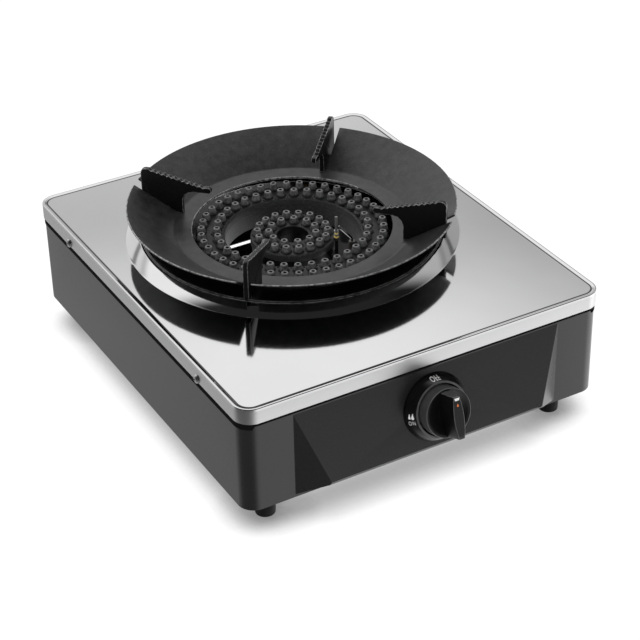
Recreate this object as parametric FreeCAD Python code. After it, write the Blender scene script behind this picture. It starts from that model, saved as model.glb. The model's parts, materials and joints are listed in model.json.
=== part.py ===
import FreeCAD, Part
import math
import os

from FreeCAD import Placement, Rotation
from FreeCAD import Vector as V

# Single burner gas stove with a wok shield. Millimetres, +Z up, +Y to the rear.
# The origin is on the floor, under the middle of the lid.

# Lid
LID_WIDTH = 310.0
LID_DEPTH = 360.0
LID_CORNER = 14.0
LID_SHEET = 0.8
LID_HEIGHT = 88.0
SKIRT_HEIGHT = 12.0
BEAD_WIDTH = 3.2
BEAD_RISE = 1.0
CROWN_PLAY = 0.8
CROWN_WIDTH = 11.2
CROWN_RISE = 6.8
CROWN_SWELL = 0.8
DISH_DEPTH = 5.5
OPENING_RADIUS = 93.0
BURNER_Y = 24.5
LID_SCREW_REAR = 115.5
LID_SCREW_FRONT = -111.5
LID_SCREW_RISE = 2.7
LID_SCREW_HEAD = 3.6
LID_SCREW_DOME = 2.4
LID_SCREW_SHANK = 1.9
LID_SCREW_REACH = 7.0

# Casing
BODY_GAP = 0.2
BODY_WALL = 0.8
TOP_FLANGE = 9.0
BOTTOM_FLANGE = 38.0
BASE_SLOT_WIDTH = 5.4
BASE_SLOT_LENGTH = 140.0
BASE_SLOT_EDGE = 14.6
FOOT_HEIGHT = 23.5
FOOT_TOP_RADIUS = 8.6
FOOT_BOTTOM_RADIUS = 7.7
FOOT_X = 127.0
FOOT_Y = 155.5
FOOT_HOLE_DEPTH = 14.0
FOOT_SCREW_SHANK = 2.0
FOOT_SCREW_HEAD = 4.0
SCREW_HEAD_HEIGHT = 2.6

# Control panel, leaning out towards its lower edge
PANEL_DROP = 7.5
PANEL_TOP_HALF = 114.0
PANEL_LIP_HALF = 91.6
PANEL_LEAN = 15.5
PANEL_LIP_RISE = 12.5
PANEL_HEEL_RISE = 2.4
DIAL_DOWN = 27.0

# Dial, knob and valve, along the knob axis, outwards from the face of the panel
BEZEL_RADIUS = 26.5
BEZEL_TOP_RADIUS = 20.7
BEZEL_HEIGHT = 10.0
BEZEL_FLOOR = 3.5
BEZEL_SKIN = 1.0
WELL_RADIUS = 19.9
KNOB_GAP = 0.7
KNOB_STOP_GAP = 1.0
KNOB_FACE = 19.5
KNOB_FACE_RADIUS = 18.9
GRIP_FRONT = 33.7
GRIP_ROOT_LENGTH = 37.0
GRIP_FRONT_LENGTH = 33.0
GRIP_ROOT_WIDTH = 11.0
GRIP_FRONT_WIDTH = 8.5
GRIP_ROOT_END = 10.0
GRIP_FRONT_END = 5.0
KNOB_BORE = 4.7
KNOB_BORE_DEPTH = 10.0
CLIP_WALL = 0.5
SPINDLE_RADIUS = 4.0
SPINDLE_FIT = 0.05
KNOB_TRAVEL = 3.5
VALVE_FLANGE_WIDTH = 46.0
VALVE_FLANGE_HEIGHT = 26.0
VALVE_FLANGE = 3.0
VALVE_RADIUS = 13.0
VALVE_LENGTH = 46.0
VALVE_CHAMBER_RADIUS = 9.0
VALVE_CHAMBER_START = 12.0
VALVE_CHAMBER_LENGTH = 28.0
PLUNGER_START = 24.3
PLUNGER_THICKNESS = 4.0
PLUNGER_RADIUS = 8.6
SPRING_WIRE = 1.5
SPRING_RADIUS = 7.5
VALVE_SCREW_X = 18.5
VALVE_SCREW_SHANK = 1.5
VALVE_SCREW_HEAD = 3.2
VALVE_SCREW_DEPTH = 1.8
PORT_RADIUS = 7.0
PORT_REACH = 24.0
PORT_DEPTH = 26.0

# Burner
TROUGH_INNER = 54.5
TROUGH_OUTER = 76.0
TROUGH_SINK = 22.0
TROUGH_DEPTH = 14.7
CUP_INNER = 12.4
CUP_OUTER = 33.0
CUP_DEPTH = 12.2
CAST_WALL = 4.0
SEAT_GAP = 0.3
OUTER_DECK = 6.0
INNER_DECK = 6.0
HEAD_OVERHANG = 1.0
OUTER_NOZZLE = 5.9
INNER_NOZZLE = 5.3
NOZZLE_ROOT = 3.9
NOZZLE_TIP = 2.7
NOZZLE_BORE = 1.1
NOZZLE_BORE_DEPTH = 4.0
OUTER_ROW_EDGE = 3.0
OUTER_ROW_NOZZLES = 42
SECOND_ROW_EDGE = 6.1
SECOND_ROW_NOZZLES = 35
PORT_ROW_EDGE = 2.5
PORT_SIZE = 0.7
CUP_ROW_EDGE = 4.8
CUP_ROW_NOZZLES = 18
CENTRE_ROW_EDGE = 6.6
CENTRE_ROW_NOZZLES = 11
SPOKE_WIDTH = 6.0
SPOKE_HEIGHT = 6.0
SPOKE_COUNT = 3
POST_RADIUS = 8.0
POST_BORE = 12.0
BRACKET_RISE = 36.5
BRACKET_SHEET = 1.5
BRACKET_WIDTH = 34.0
BRACKET_LEG_X = 122.0
BRACKET_TOE = 18.0
TUBE_RADIUS = 11.0
TUBE_WALL = 2.5
TUBE_X = 20.0
TUBE_SINK = 13.0
TUBE_MOUTH = -96.0
RISER_RADIUS = 12.5
RISER_BORE = 6.0
RISER_FLOOR = 2.5
SHUTTER_WALL = 1.4
SHUTTER_LENGTH = 16.0
SHUTTER_FIT = 0.05
INJECTOR_RADIUS = 4.5
INJECTOR_BORE = 0.6
INJECTOR_LENGTH = 14.0
BLOCK_SIZE = 16.0
BLOCK_WIDTH = 64.0
BLOCK_GAP = 4.0
PIPE_RADIUS = 5.0
PIPE_BEND = 14.0
SMALL_SCREW = 2.0

# Pan support
BASE_RADIUS = 121.0
BASE_HEIGHT = 13.0
BASE_EDGE = 1.0
BASE_SHEET = 2.0
BASE_INNER = 96.0
BASE_FALL = 4.0
SHIELD_SHEET = 1.6
SHIELD_LIFT = 5.5
SHIELD_HOLE = 80.0
SHIELD_CREASE = 94.5
SHIELD_OVERHANG = 6.5
SHIELD_RISE = 23.2
NOTCH_ROOT = 5.2
NOTCH_RIM = 12.0
PRONG_SHEET = 4.0
PRONG_OVERHANG = 3.5
PRONG_RISE = 36.5
PRONG_CORNER = 4.0
PRONG_TIP_RADIUS = 66.5
PRONG_TIP_RISE = 25.0
PRONG_TIP_HEIGHT = 5.0
PRONG_FOOT_INNER = 91.0
PRONG_FILLET = 9.0
PRONG_SHOULDER = 2.5
PRONG_TAB_WIDTH = 6.0
PRONG_TAB_PLAY = 0.4
PRONG_LEG_DROP = 5.5
TOOTH_COUNT = 10
TOOTH_DEPTH = 1.3

# Ignition and safety
PROBE_RADIUS = 38.7
PROBE_ANGLE = -55.0
PROBE_RISE = 15.5
PROBE_PIN = 1.1
COLLAR_RADIUS = 1.9
COLLAR_HEIGHT = 4.5
COLLAR_RISE = 5.5
INSULATOR_ANGLE = -38.0
INSULATOR_PLACE = 48.0
INSULATOR_RADIUS = 2.6
INSULATOR_SINK = 6.5
INSULATOR_LENGTH = 17.5
ELECTRODE_WIRE = 0.8
ELECTRODE_BEND = 2.5
ELECTRODE_RISE = 18.0
ELECTRODE_REACH = 0.82
SHELF_RISE = 10.0
SHELF_SHEET = 1.5
SHELF_INNER = 35.2
SHELF_OUTER = 52.5
SHELF_LENGTH = 20.0
LEAD_RADIUS = 1.1
IGNITER_LENGTH = 22.0
IGNITER_HEIGHT = 16.0
LEAD_RISE = 12.5
LEAD_SIDE = 40.0
SCREW_TIP = 1.2
LEAD_BEND = 8.0

# Gas inlet at the rear
INLET_X = 95.0
INLET_RISE = 24.5
INLET_HEX = 17.0
INLET_HEX_LENGTH = 9.0
INLET_THREAD = 6.5
INLET_INSIDE = 14.0
SPIGOT_RADIUS = 5.0
SPIGOT_LENGTH = 25.0
SPIGOT_CHAMFER = 1.0
INLET_BORE = 3.0
NUT_HEX = 19.0
NUT_LENGTH = 6.0
WASHER_RADIUS = 11.0
WASHER_SHEET = 1.5
SLOT_PLAY = 0.3

# Places worked out from the sizes above
lid_top = FOOT_HEIGHT + LID_HEIGHT
skirt_bottom = lid_top - SKIRT_HEIGHT
lid_under = lid_top - LID_SHEET
body_half_x = LID_WIDTH / 2 - LID_SHEET - BODY_GAP
body_half_y = LID_DEPTH / 2 - LID_SHEET - BODY_GAP
body_corner = LID_CORNER - LID_SHEET - BODY_GAP
body_front = -body_half_y
body_rear = body_half_y
body_bottom = FOOT_HEIGHT
flange_top = body_bottom + BODY_WALL
dish_floor = lid_top - DISH_DEPTH
crown_inner = BASE_RADIUS + CROWN_PLAY
crown_outer = crown_inner + CROWN_WIDTH
crown_top = lid_top + CROWN_RISE
panel_top = skirt_bottom - PANEL_DROP
panel_lip = body_bottom + PANEL_LIP_RISE
panel_heel = body_bottom + PANEL_HEEL_RISE
lean_angle = math.atan2(PANEL_LEAN, panel_top - panel_lip)
knob_axis = V(0, -math.cos(lean_angle), math.sin(lean_angle))
panel_up = V(0, math.sin(lean_angle), math.cos(lean_angle))
dial_centre = V(0, body_front, panel_top) - panel_up * DIAL_DOWN
panel_place = Placement(dial_centre, Rotation(V(1, 0, 0), 90 - math.degrees(lean_angle)))
knob_back = BEZEL_FLOOR + KNOB_TRAVEL + KNOB_STOP_GAP
trough_floor = lid_top - TROUGH_SINK
trough_top = trough_floor + TROUGH_DEPTH
cup_top = trough_floor + CUP_DEPTH
tube_z = trough_floor - TUBE_SINK
bracket_top = FOOT_HEIGHT + BRACKET_RISE
outer_rows = ((TROUGH_OUTER - OUTER_ROW_EDGE, OUTER_ROW_NOZZLES, -0.46),
              (TROUGH_INNER + SECOND_ROW_EDGE, SECOND_ROW_NOZZLES, -0.2))
port_row = (TROUGH_INNER + PORT_ROW_EDGE, SECOND_ROW_NOZZLES, 0.3)
inner_rows = ((CUP_OUTER - CUP_ROW_EDGE, CUP_ROW_NOZZLES, -0.46),
              (CUP_INNER + CENTRE_ROW_EDGE, CENTRE_ROW_NOZZLES, -0.25))
prong_outer = BASE_RADIUS + PRONG_OVERHANG
tab_outer = BASE_RADIUS - BASE_SHEET - PRONG_TAB_PLAY
tab_inner = tab_outer - PRONG_TAB_WIDTH
shield_rim = prong_outer + SHIELD_OVERHANG
shield_floor = lid_top + SHIELD_LIFT
shield_top = shield_floor + SHIELD_RISE
prong_top = shield_floor + PRONG_RISE
prong_tip_top = shield_floor + PRONG_TIP_RISE
collar_top = lid_top + COLLAR_RISE
probe_top = collar_top + PROBE_RISE
insulator_top = lid_top - INSULATOR_SINK
shelf_top = trough_floor + SHELF_RISE
lead_low = FOOT_HEIGHT + LEAD_RISE
inlet_z = FOOT_HEIGHT + INLET_RISE
base_bottom = dish_floor
base_top = base_bottom + BASE_HEIGHT
bracket_under = bracket_top - BRACKET_SHEET
spring_start = PLUNGER_START + PLUNGER_THICKNESS
chamber_end = VALVE_CHAMBER_START + VALVE_CHAMBER_LENGTH
injector_tip = TUBE_MOUTH + BLOCK_GAP
block_rear = injector_tip - INJECTOR_LENGTH
block_y = block_rear - BLOCK_SIZE / 2
first_spoke = (PROBE_ANGLE + INSULATOR_ANGLE) / 2
spoke_angles = [first_spoke + 360 * k / SPOKE_COUNT for k in range(SPOKE_COUNT)]
PRONG_ANGLES = {"front_left": 225.0, "front_right": 315.0, "back_left": 135.0, "back_right": 45.0}


def rounded_rect(half_x, half_y, radius, z):
    """Closed wire of a rectangle with round corners, centred on the origin."""
    corners = []
    for sx, sy in ((1, 1), (-1, 1), (-1, -1), (1, -1)):
        centre = V(sx * (half_x - radius), sy * (half_y - radius), z)
        middle = math.atan2(sy, sx)
        angles = [middle + k * math.pi / 4 for k in (-1, 0, 1)]
        corners.append([centre + V(math.cos(a), math.sin(a), 0) * radius for a in angles])
    edges = []
    for corner, following in zip(corners, corners[1:] + corners[:1]):
        edges.append(Part.Arc(*corner).toShape())
        edges.append(Part.LineSegment(corner[2], following[0]).toShape())
    return Part.Wire(edges)


def rounded_prism(half_x, half_y, radius, z0, z1):
    return Part.Face(rounded_rect(half_x, half_y, radius, z0)).extrude(V(0, 0, z1 - z0))


def cylinder(radius, start, end):
    """Cylinder between two points."""
    axis = end - start
    return Part.makeCylinder(radius, axis.Length, start, axis)


def upright(radius, x, y, z0, z1):
    return Part.makeCylinder(radius, z1 - z0, V(x, y, z0))


def tube(inner, outer, start, end):
    return cylinder(outer, start, end).cut(cylinder(inner, start, end))


def turned(profile, x=0.0, y=BURNER_Y):
    """Solid of revolution about an upright axis, from (radius, height) points."""
    points = [V(x + r, y, z) for r, z in profile]
    face = Part.Face(Part.makePolygon(points + points[:1]))
    return face.revolve(V(x, y, 0), V(0, 0, 1), 360)


def annulus(inner, outer, z0, z1):
    return turned([(inner, z0), (outer, z0), (outer, z1), (inner, z1)])


def around(shape, degrees):
    """Copy of a shape turned about the burner axis."""
    copy = shape.copy()
    copy.rotate(V(0, BURNER_Y, 0), V(0, 0, 1), degrees)
    return copy


def at_panel(shape):
    """Copy of a shape made about the knob axis, moved onto the control panel."""
    copy = shape.copy()
    copy.Placement = panel_place.multiply(copy.Placement)
    return copy


def panel_point(x, up, out):
    return panel_place.multVec(V(x, up, out))


def polar(radius, degrees, z):
    angle = math.radians(degrees)
    return V(radius * math.cos(angle), BURNER_Y + radius * math.sin(angle), z)


def hex_bar(flats, start, end):
    """Hexagonal bar between two points on a line along Y."""
    radius = flats / math.sqrt(3)
    angles = [k * math.pi / 3 for k in range(7)]
    points = [start + V(math.cos(a), 0, math.sin(a)) * radius for a in angles]
    return Part.Face(Part.makePolygon(points)).extrude(end - start)


def bent_rod(points, radius, bend):
    """Round rod along straight runs joined by tangent arcs."""
    edges = []
    last = points[0]
    for before, corner, after in zip(points, points[1:], points[2:]):
        back = (before - corner).normalize()
        ahead = (after - corner).normalize()
        half = back.getAngle(ahead) / 2
        reach = bend / math.tan(half)
        middle = corner + (back + ahead).normalize() * (bend / math.sin(half) - bend)
        start = corner + back * reach
        end = corner + ahead * reach
        edges.append(Part.LineSegment(last, start).toShape())
        edges.append(Part.Arc(start, middle, end).toShape())
        last = end
    edges.append(Part.LineSegment(last, points[-1]).toShape())
    path = Part.Wire(edges)
    section = Part.Wire(Part.makeCircle(radius, points[0], points[1] - points[0]))
    return path.makePipeShell([section], True, False)


def meet(*planes):
    """Point shared by three planes, each a (point, normal) pair."""
    (p1, n1), (p2, n2), (p3, n3) = planes
    total = n2.cross(n3) * p1.dot(n1) + n3.cross(n1) * p2.dot(n2) + n1.cross(n2) * p3.dot(n3)
    return total * (1 / n1.dot(n2.cross(n3)))


def polyhedron(faces):
    shells = [Part.Face(Part.makePolygon(list(face) + [face[0]])) for face in faces]
    return Part.makeSolid(Part.makeShell(shells))


def panel_wedge(sink):
    """Leaning panel with triangular cheeks, its outer faces set in by the sheet."""
    top = V(PANEL_TOP_HALF, body_front, panel_top)
    heel = V(PANEL_TOP_HALF, body_front, panel_heel)
    lip = V(PANEL_LIP_HALF, body_front - PANEL_LEAN, panel_lip)
    cheek_normal = (heel - top).cross(lip - top).normalize()
    if cheek_normal.x < 0:
        cheek_normal = cheek_normal * -1
    face_normal = knob_axis
    under_normal = (lip - heel).cross(V(1, 0, 0)).normalize()
    if under_normal.z > 0:
        under_normal = under_normal * -1
    face = (lip - face_normal * sink, face_normal)
    under = (lip - under_normal * sink, under_normal)
    cheek = (lip - cheek_normal * sink, cheek_normal)
    wall = (V(0, body_front + sink, 0), V(0, 1, 0))
    a = meet(face, cheek, wall)
    c = meet(under, cheek, wall)
    e = meet(face, under, cheek)
    b, d, f = [V(-p.x, p.y, p.z) for p in (a, c, e)]
    return polyhedron([(a, e, f, b), (a, c, e), (b, f, d), (c, d, f, e), (a, b, d, c)])


def lid_screw_places():
    z = skirt_bottom + LID_SCREW_RISE
    return [(side, y, z) for side in (-1, 1) for y in (LID_SCREW_REAR, LID_SCREW_FRONT)]


def foot_places():
    return [(sx * FOOT_X, sy * FOOT_Y) for sx in (-1, 1) for sy in (-1, 1)]


def lid_screw_holes(radius):
    reach = LID_WIDTH / 2 - LID_SCREW_REACH - 1
    return [cylinder(radius, V(side * reach, y, z), V(side * LID_WIDTH, y, z))
            for side, y, z in lid_screw_places()]


def crown_curve(inner, outer, top, foot):
    """Swelling flank of the lid's raised ring, from its top down to its foot."""
    chord = V(outer - inner, 0, foot - top)
    outward = V(top - foot, 0, outer - inner).normalize()
    middle = V(inner, BURNER_Y, top) + chord / 2 + outward * CROWN_SWELL
    return Part.Arc(V(inner, BURNER_Y, top), middle, V(outer, BURNER_Y, foot)).toShape()


def crown():
    """Raised ring of the lid, the wall inside it and the dish that drains to the burner."""
    flank = crown_curve(crown_inner, crown_outer, crown_top, lid_top)
    wall = crown_inner + LID_SHEET
    wall_top = crown_top - LID_SHEET * 1.5
    under = crown_curve(wall, crown_outer, wall_top, lid_under)
    dish_under = dish_floor - LID_SHEET
    dish = [V(r, BURNER_Y, z) for r, z in (
        (wall, wall_top), (wall, dish_under), (OPENING_RADIUS, dish_under), (OPENING_RADIUS, dish_floor),
        (crown_inner, dish_floor), (crown_inner, crown_top))]
    rim = Part.makeLine(V(crown_outer, BURNER_Y, lid_top), V(crown_outer, BURNER_Y, lid_under))
    wire = Part.Wire(Part.__sortEdges__([flank, rim, under] + Part.makePolygon(dish).Edges))
    return Part.Face(wire).revolve(V(0, BURNER_Y, 0), V(0, 0, 1), 360)


def top_plate():
    half_x = LID_WIDTH / 2
    half_y = LID_DEPTH / 2
    inner_x = half_x - LID_SHEET
    inner_y = half_y - LID_SHEET
    plate = rounded_prism(half_x, half_y, LID_CORNER, skirt_bottom, lid_top)
    plate = plate.cut(rounded_prism(inner_x, inner_y, LID_CORNER - LID_SHEET, skirt_bottom, lid_under))
    bead = rounded_prism(half_x, half_y, LID_CORNER, lid_under, lid_top + BEAD_RISE)
    bead = bead.cut(rounded_prism(half_x - BEAD_WIDTH, half_y - BEAD_WIDTH, LID_CORNER - BEAD_WIDTH,
                                  lid_under, lid_top + BEAD_RISE))
    crest = [edge for edge in bead.Edges if edge.BoundBox.ZMin > lid_top + BEAD_RISE / 2]
    bead = bead.makeFillet(BEAD_RISE * 0.9, crest)
    plate = plate.cut(upright(crown_outer, 0, BURNER_Y, skirt_bottom, lid_top))
    plate = plate.fuse([bead, crown()]).removeSplitter()
    return plate.cut(lid_screw_holes(LID_SCREW_SHANK + SLOT_PLAY))


def body_shell():
    inner_x = body_half_x - BODY_WALL
    inner_y = body_half_y - BODY_WALL
    inner_corner = body_corner - BODY_WALL
    shell = rounded_prism(body_half_x, body_half_y, body_corner, body_bottom, lid_under)
    shell = shell.fuse(panel_wedge(0.0)).removeSplitter()
    room = rounded_prism(inner_x, inner_y, inner_corner, flange_top, lid_under - BODY_WALL)
    mouth = rounded_prism(body_half_x - TOP_FLANGE, body_half_y - TOP_FLANGE, body_corner - BODY_WALL,
                          lid_under - BODY_WALL, lid_under)
    base_hole = rounded_prism(body_half_x - BOTTOM_FLANGE, body_half_y - BOTTOM_FLANGE, body_corner,
                              body_bottom, flange_top)
    shell = shell.cut(room).cut(mouth).cut(base_hole).cut(panel_wedge(BODY_WALL))
    holes = lid_screw_holes(LID_SCREW_SHANK + SLOT_PLAY)
    for x, y in foot_places():
        holes.append(upright(FOOT_SCREW_SHANK + SLOT_PLAY, x, y, body_bottom - 1, flange_top + 1))
    for x, y in bracket_screw_places():
        holes.append(upright(SMALL_SCREW + SLOT_PLAY, x, y, body_bottom - 1, flange_top + 1))
    slot_y = body_rear - BASE_SLOT_EDGE - BASE_SLOT_WIDTH
    holes.append(Part.makeBox(BASE_SLOT_LENGTH, BASE_SLOT_WIDTH, BODY_WALL + 2,
                              V(-BASE_SLOT_LENGTH / 2, slot_y, body_bottom - 1)))
    inlet_start = V(INLET_X, inner_y - 1, inlet_z)
    holes.append(cylinder(INLET_THREAD + SLOT_PLAY, inlet_start, V(INLET_X, LID_DEPTH, inlet_z)))
    shaft = SPINDLE_RADIUS + SLOT_PLAY
    holes.append(at_panel(cylinder(shaft, V(0, 0, -BODY_WALL * 2), V(0, 0, 1))))
    for side in (-1, 1):
        x = side * VALVE_SCREW_X
        holes.append(at_panel(cylinder(VALVE_SCREW_SHANK + SLOT_PLAY, V(x, 0, -BODY_WALL * 2), V(x, 0, 1))))
    return shell.cut(holes)


def lid_screws():
    screws = []
    for side, y, z in lid_screw_places():
        seat = side * LID_WIDTH / 2
        tip = seat - side * LID_SCREW_REACH
        shank = cylinder(LID_SCREW_SHANK, V(tip, y, z), V(seat, y, z))
        ball = (LID_SCREW_HEAD ** 2 + LID_SCREW_DOME ** 2) / (2 * LID_SCREW_DOME)
        dome = Part.makeSphere(ball, V(seat + side * (LID_SCREW_DOME - ball), y, z))
        blank = cylinder(LID_SCREW_HEAD + 1, V(seat, y, z), V(seat + side * LID_SCREW_DOME * 2, y, z))
        screws.append(shank.fuse(dome.common(blank)))
    return Part.makeCompound(screws)


def rubber_feet():
    feet = []
    for x, y in foot_places():
        side = [(FOOT_BOTTOM_RADIUS, 0), (FOOT_TOP_RADIUS, FOOT_HEIGHT)]
        foot = turned([(0, 0)] + side + [(0, FOOT_HEIGHT)], x, y)
        rim = [edge for edge in foot.Edges if edge.BoundBox.ZMax < 0.01 and edge.BoundBox.XLength > 1]
        foot = foot.makeFillet(FOOT_BOTTOM_RADIUS * 0.12, rim)
        hole = upright(FOOT_SCREW_SHANK, x, y, FOOT_HEIGHT - FOOT_HOLE_DEPTH, FOOT_HEIGHT)
        feet.append(foot.cut(hole))
    return Part.makeCompound(feet)


def set_screw(x, y, seat, head, shank, length):
    """Pan-head screw pointing down, with its head standing on a face."""
    body = upright(shank, x, y, seat - length, seat)
    return body.fuse(upright(head, x, y, seat, seat + SCREW_HEAD_HEIGHT))


def foot_screws():
    length = BODY_WALL + FOOT_HOLE_DEPTH - 1
    return Part.makeCompound([set_screw(x, y, flange_top, FOOT_SCREW_HEAD, FOOT_SCREW_SHANK, length)
                              for x, y in foot_places()])


def bracket_screw_places():
    x = BRACKET_LEG_X + BRACKET_TOE / 2
    y = BRACKET_WIDTH / 4
    return [(sx * x, BURNER_Y + sy * y) for sx in (-1, 1) for sy in (-1, 1)]


def burner_bracket():
    y0 = BURNER_Y - BRACKET_WIDTH / 2
    toe_end = BRACKET_LEG_X + BRACKET_TOE
    leg_out = BRACKET_LEG_X
    leg_in = BRACKET_LEG_X - BRACKET_SHEET
    toe_top = flange_top + BRACKET_SHEET
    half = [(leg_in, bracket_under), (leg_in, flange_top), (toe_end, flange_top), (toe_end, toe_top),
            (leg_out, toe_top), (leg_out, bracket_top)]
    outline = half + [(-x, z) for x, z in reversed(half)]
    points = [V(x, y0, z) for x, z in outline]
    bracket = Part.Face(Part.makePolygon(points + points[:1])).extrude(V(0, BRACKET_WIDTH, 0))
    hole = SMALL_SCREW + SLOT_PLAY
    holes = [upright(hole, x, y, body_bottom, bracket_top) for x, y in bracket_screw_places()]
    holes += [upright(hole, x, BURNER_Y, bracket_under - 1, bracket_top + 1) for x in post_places()]
    return bracket.cut(holes)


def bracket_screws():
    seat = flange_top + BRACKET_SHEET
    length = BRACKET_SHEET + BODY_WALL + SCREW_TIP
    return Part.makeCompound([set_screw(x, y, seat, SMALL_SCREW * 2, SMALL_SCREW, length)
                              for x, y in bracket_screw_places()])


def post_places():
    x = (TROUGH_INNER + TROUGH_OUTER) / 2
    return (-x, x)


def channel(inner, outer, floor, top):
    """Ring-shaped trough, open above."""
    ring = annulus(inner, outer, floor, top)
    return ring.cut(annulus(inner + CAST_WALL, outer - CAST_WALL, floor + CAST_WALL, top))


def mixing_tubes():
    """Each tube's x, its far end and the ring that its riser feeds."""
    outer_y = BURNER_Y - math.sqrt(((TROUGH_INNER + TROUGH_OUTER) / 2) ** 2 - TUBE_X ** 2)
    inner_y = BURNER_Y - math.sqrt(((CUP_INNER + CUP_OUTER) / 2) ** 2 - TUBE_X ** 2)
    return ((TUBE_X, outer_y), (-TUBE_X, inner_y))


def burner_body():
    trough = channel(TROUGH_INNER, TROUGH_OUTER, trough_floor, trough_top)
    cup = channel(CUP_INNER, CUP_OUTER, trough_floor, cup_top)
    solid = [cup]
    for angle in spoke_angles:
        spoke = Part.makeBox(TROUGH_INNER - CUP_OUTER + CAST_WALL, SPOKE_WIDTH, SPOKE_HEIGHT,
                             V(CUP_OUTER - CAST_WALL / 2, BURNER_Y - SPOKE_WIDTH / 2, trough_floor))
        solid.append(around(spoke, angle))
    for x in post_places():
        solid.append(upright(POST_RADIUS, x, BURNER_Y, bracket_top, trough_floor))
    bores = [upright(SMALL_SCREW, x, BURNER_Y, bracket_top, bracket_top + POST_BORE) for x in post_places()]
    for x, y in mixing_tubes():
        solid.append(cylinder(TUBE_RADIUS, V(x, TUBE_MOUTH, tube_z), V(x, y, tube_z)))
        solid.append(upright(RISER_RADIUS, x, y, tube_z - TUBE_RADIUS - RISER_FLOOR, trough_floor))
        bore = TUBE_RADIUS - TUBE_WALL
        bores.append(cylinder(bore, V(x, TUBE_MOUTH, tube_z), V(x, y, tube_z)))
        bores.append(upright(RISER_BORE, x, y, tube_z, trough_floor + CAST_WALL))
        window = SHUTTER_LENGTH / 2
        middle = TUBE_MOUTH + SHUTTER_LENGTH * 0.75
        bores.append(Part.makeBox(TUBE_RADIUS * 4, window, TUBE_RADIUS,
                                  V(x - TUBE_RADIUS * 2, middle - window / 2, tube_z - TUBE_RADIUS / 2)))
    casting = trough.fuse(solid)
    floor = trough_floor + CAST_WALL
    rings = ((TROUGH_INNER, TROUGH_OUTER, trough_top), (CUP_INNER, CUP_OUTER, cup_top))
    bores += [annulus(inner + CAST_WALL, outer - CAST_WALL, floor, top) for inner, outer, top in rings]
    return casting.cut(bores).removeSplitter()


def burner_screws():
    screws = []
    for x in post_places():
        shank = upright(SMALL_SCREW - SPINDLE_FIT, x, BURNER_Y, bracket_under, bracket_top + POST_BORE - 1)
        head = upright(SMALL_SCREW * 2, x, BURNER_Y, bracket_under - SCREW_HEAD_HEIGHT, bracket_under)
        screws.append(shank.fuse(head))
    return Part.makeCompound(screws)


def nozzle_head(inner, outer, seat, deck, rows, rise):
    """Loose burner ring with its rows of drilled nozzles."""
    base = seat + SEAT_GAP
    top = base + deck
    head = turned([(inner, base), (outer, base), (outer, top - deck / 4), (outer - deck / 4, top),
                   (inner + deck / 4, top), (inner, top - deck / 4)])
    lip_gap = CAST_WALL + SEAT_GAP
    lip = annulus(inner + lip_gap, outer - HEAD_OVERHANG - lip_gap, base - CAST_WALL, base)
    lip = lip.cut(annulus(inner + lip_gap + CAST_WALL / 2, outer - HEAD_OVERHANG - lip_gap - CAST_WALL / 2,
                          base - CAST_WALL, base))
    nozzles = []
    bores = []
    root = top - deck / 4
    for radius, count, phase in rows:
        for k in range(count):
            spot = polar(radius, 360 * (k + phase) / count, root)
            height = rise + deck / 4
            nozzles.append(Part.makeCone(NOZZLE_ROOT, NOZZLE_TIP, height, spot))
            mouth = spot + V(0, 0, height - NOZZLE_BORE_DEPTH)
            bores.append(Part.makeCylinder(NOZZLE_BORE, NOZZLE_BORE_DEPTH + 1, mouth))
    return head.fuse([lip] + nozzles).cut(bores)


def outer_burner_head():
    outer = TROUGH_OUTER + HEAD_OVERHANG
    head = nozzle_head(TROUGH_INNER, outer, trough_top, OUTER_DECK, outer_rows, OUTER_NOZZLE)
    radius, count, phase = port_row
    deck_top = trough_top + SEAT_GAP + OUTER_DECK
    ports = []
    for k in range(count):
        mouth = polar(radius, 360 * (k + phase) / count, deck_top - PORT_SIZE * 3)
        ports.append(Part.makeCylinder(PORT_SIZE, PORT_SIZE * 4, mouth))
    return head.cut(ports)


def inner_burner_head():
    return nozzle_head(CUP_INNER, CUP_OUTER + HEAD_OVERHANG, cup_top, INNER_DECK, inner_rows, INNER_NOZZLE)


def air_shutter(x):
    """Sleeve with two windows that turns on a mixing tube."""
    start = V(x, TUBE_MOUTH + SHUTTER_LENGTH / 4, tube_z)
    end = start + V(0, SHUTTER_LENGTH, 0)
    inner = TUBE_RADIUS + SHUTTER_FIT
    sleeve = tube(inner, inner + SHUTTER_WALL, start, end)
    window = SHUTTER_LENGTH / 2
    middle = (start.y + end.y) / 2
    slot = Part.makeBox(TUBE_RADIUS * 4, window, TUBE_RADIUS,
                        V(x - TUBE_RADIUS * 2, middle - window / 2, tube_z - TUBE_RADIUS / 2))
    return sleeve.cut(slot)


def injector(x):
    start = V(x, block_rear, tube_z)
    jet = cylinder(INJECTOR_RADIUS, start, V(x, injector_tip, tube_z))
    return jet.cut(cylinder(INJECTOR_BORE, start, V(x, injector_tip, tube_z)))


def injector_block():
    half = BLOCK_SIZE / 2
    corner = V(-BLOCK_WIDTH / 2, block_y - half, tube_z - half)
    block = Part.makeBox(BLOCK_WIDTH, BLOCK_SIZE, BLOCK_SIZE, corner)
    reach = TUBE_X + INJECTOR_RADIUS
    gallery = cylinder(PIPE_RADIUS / 2, V(-reach, block_y, tube_z), V(reach, block_y, tube_z))
    return block.cut(gallery)


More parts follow.
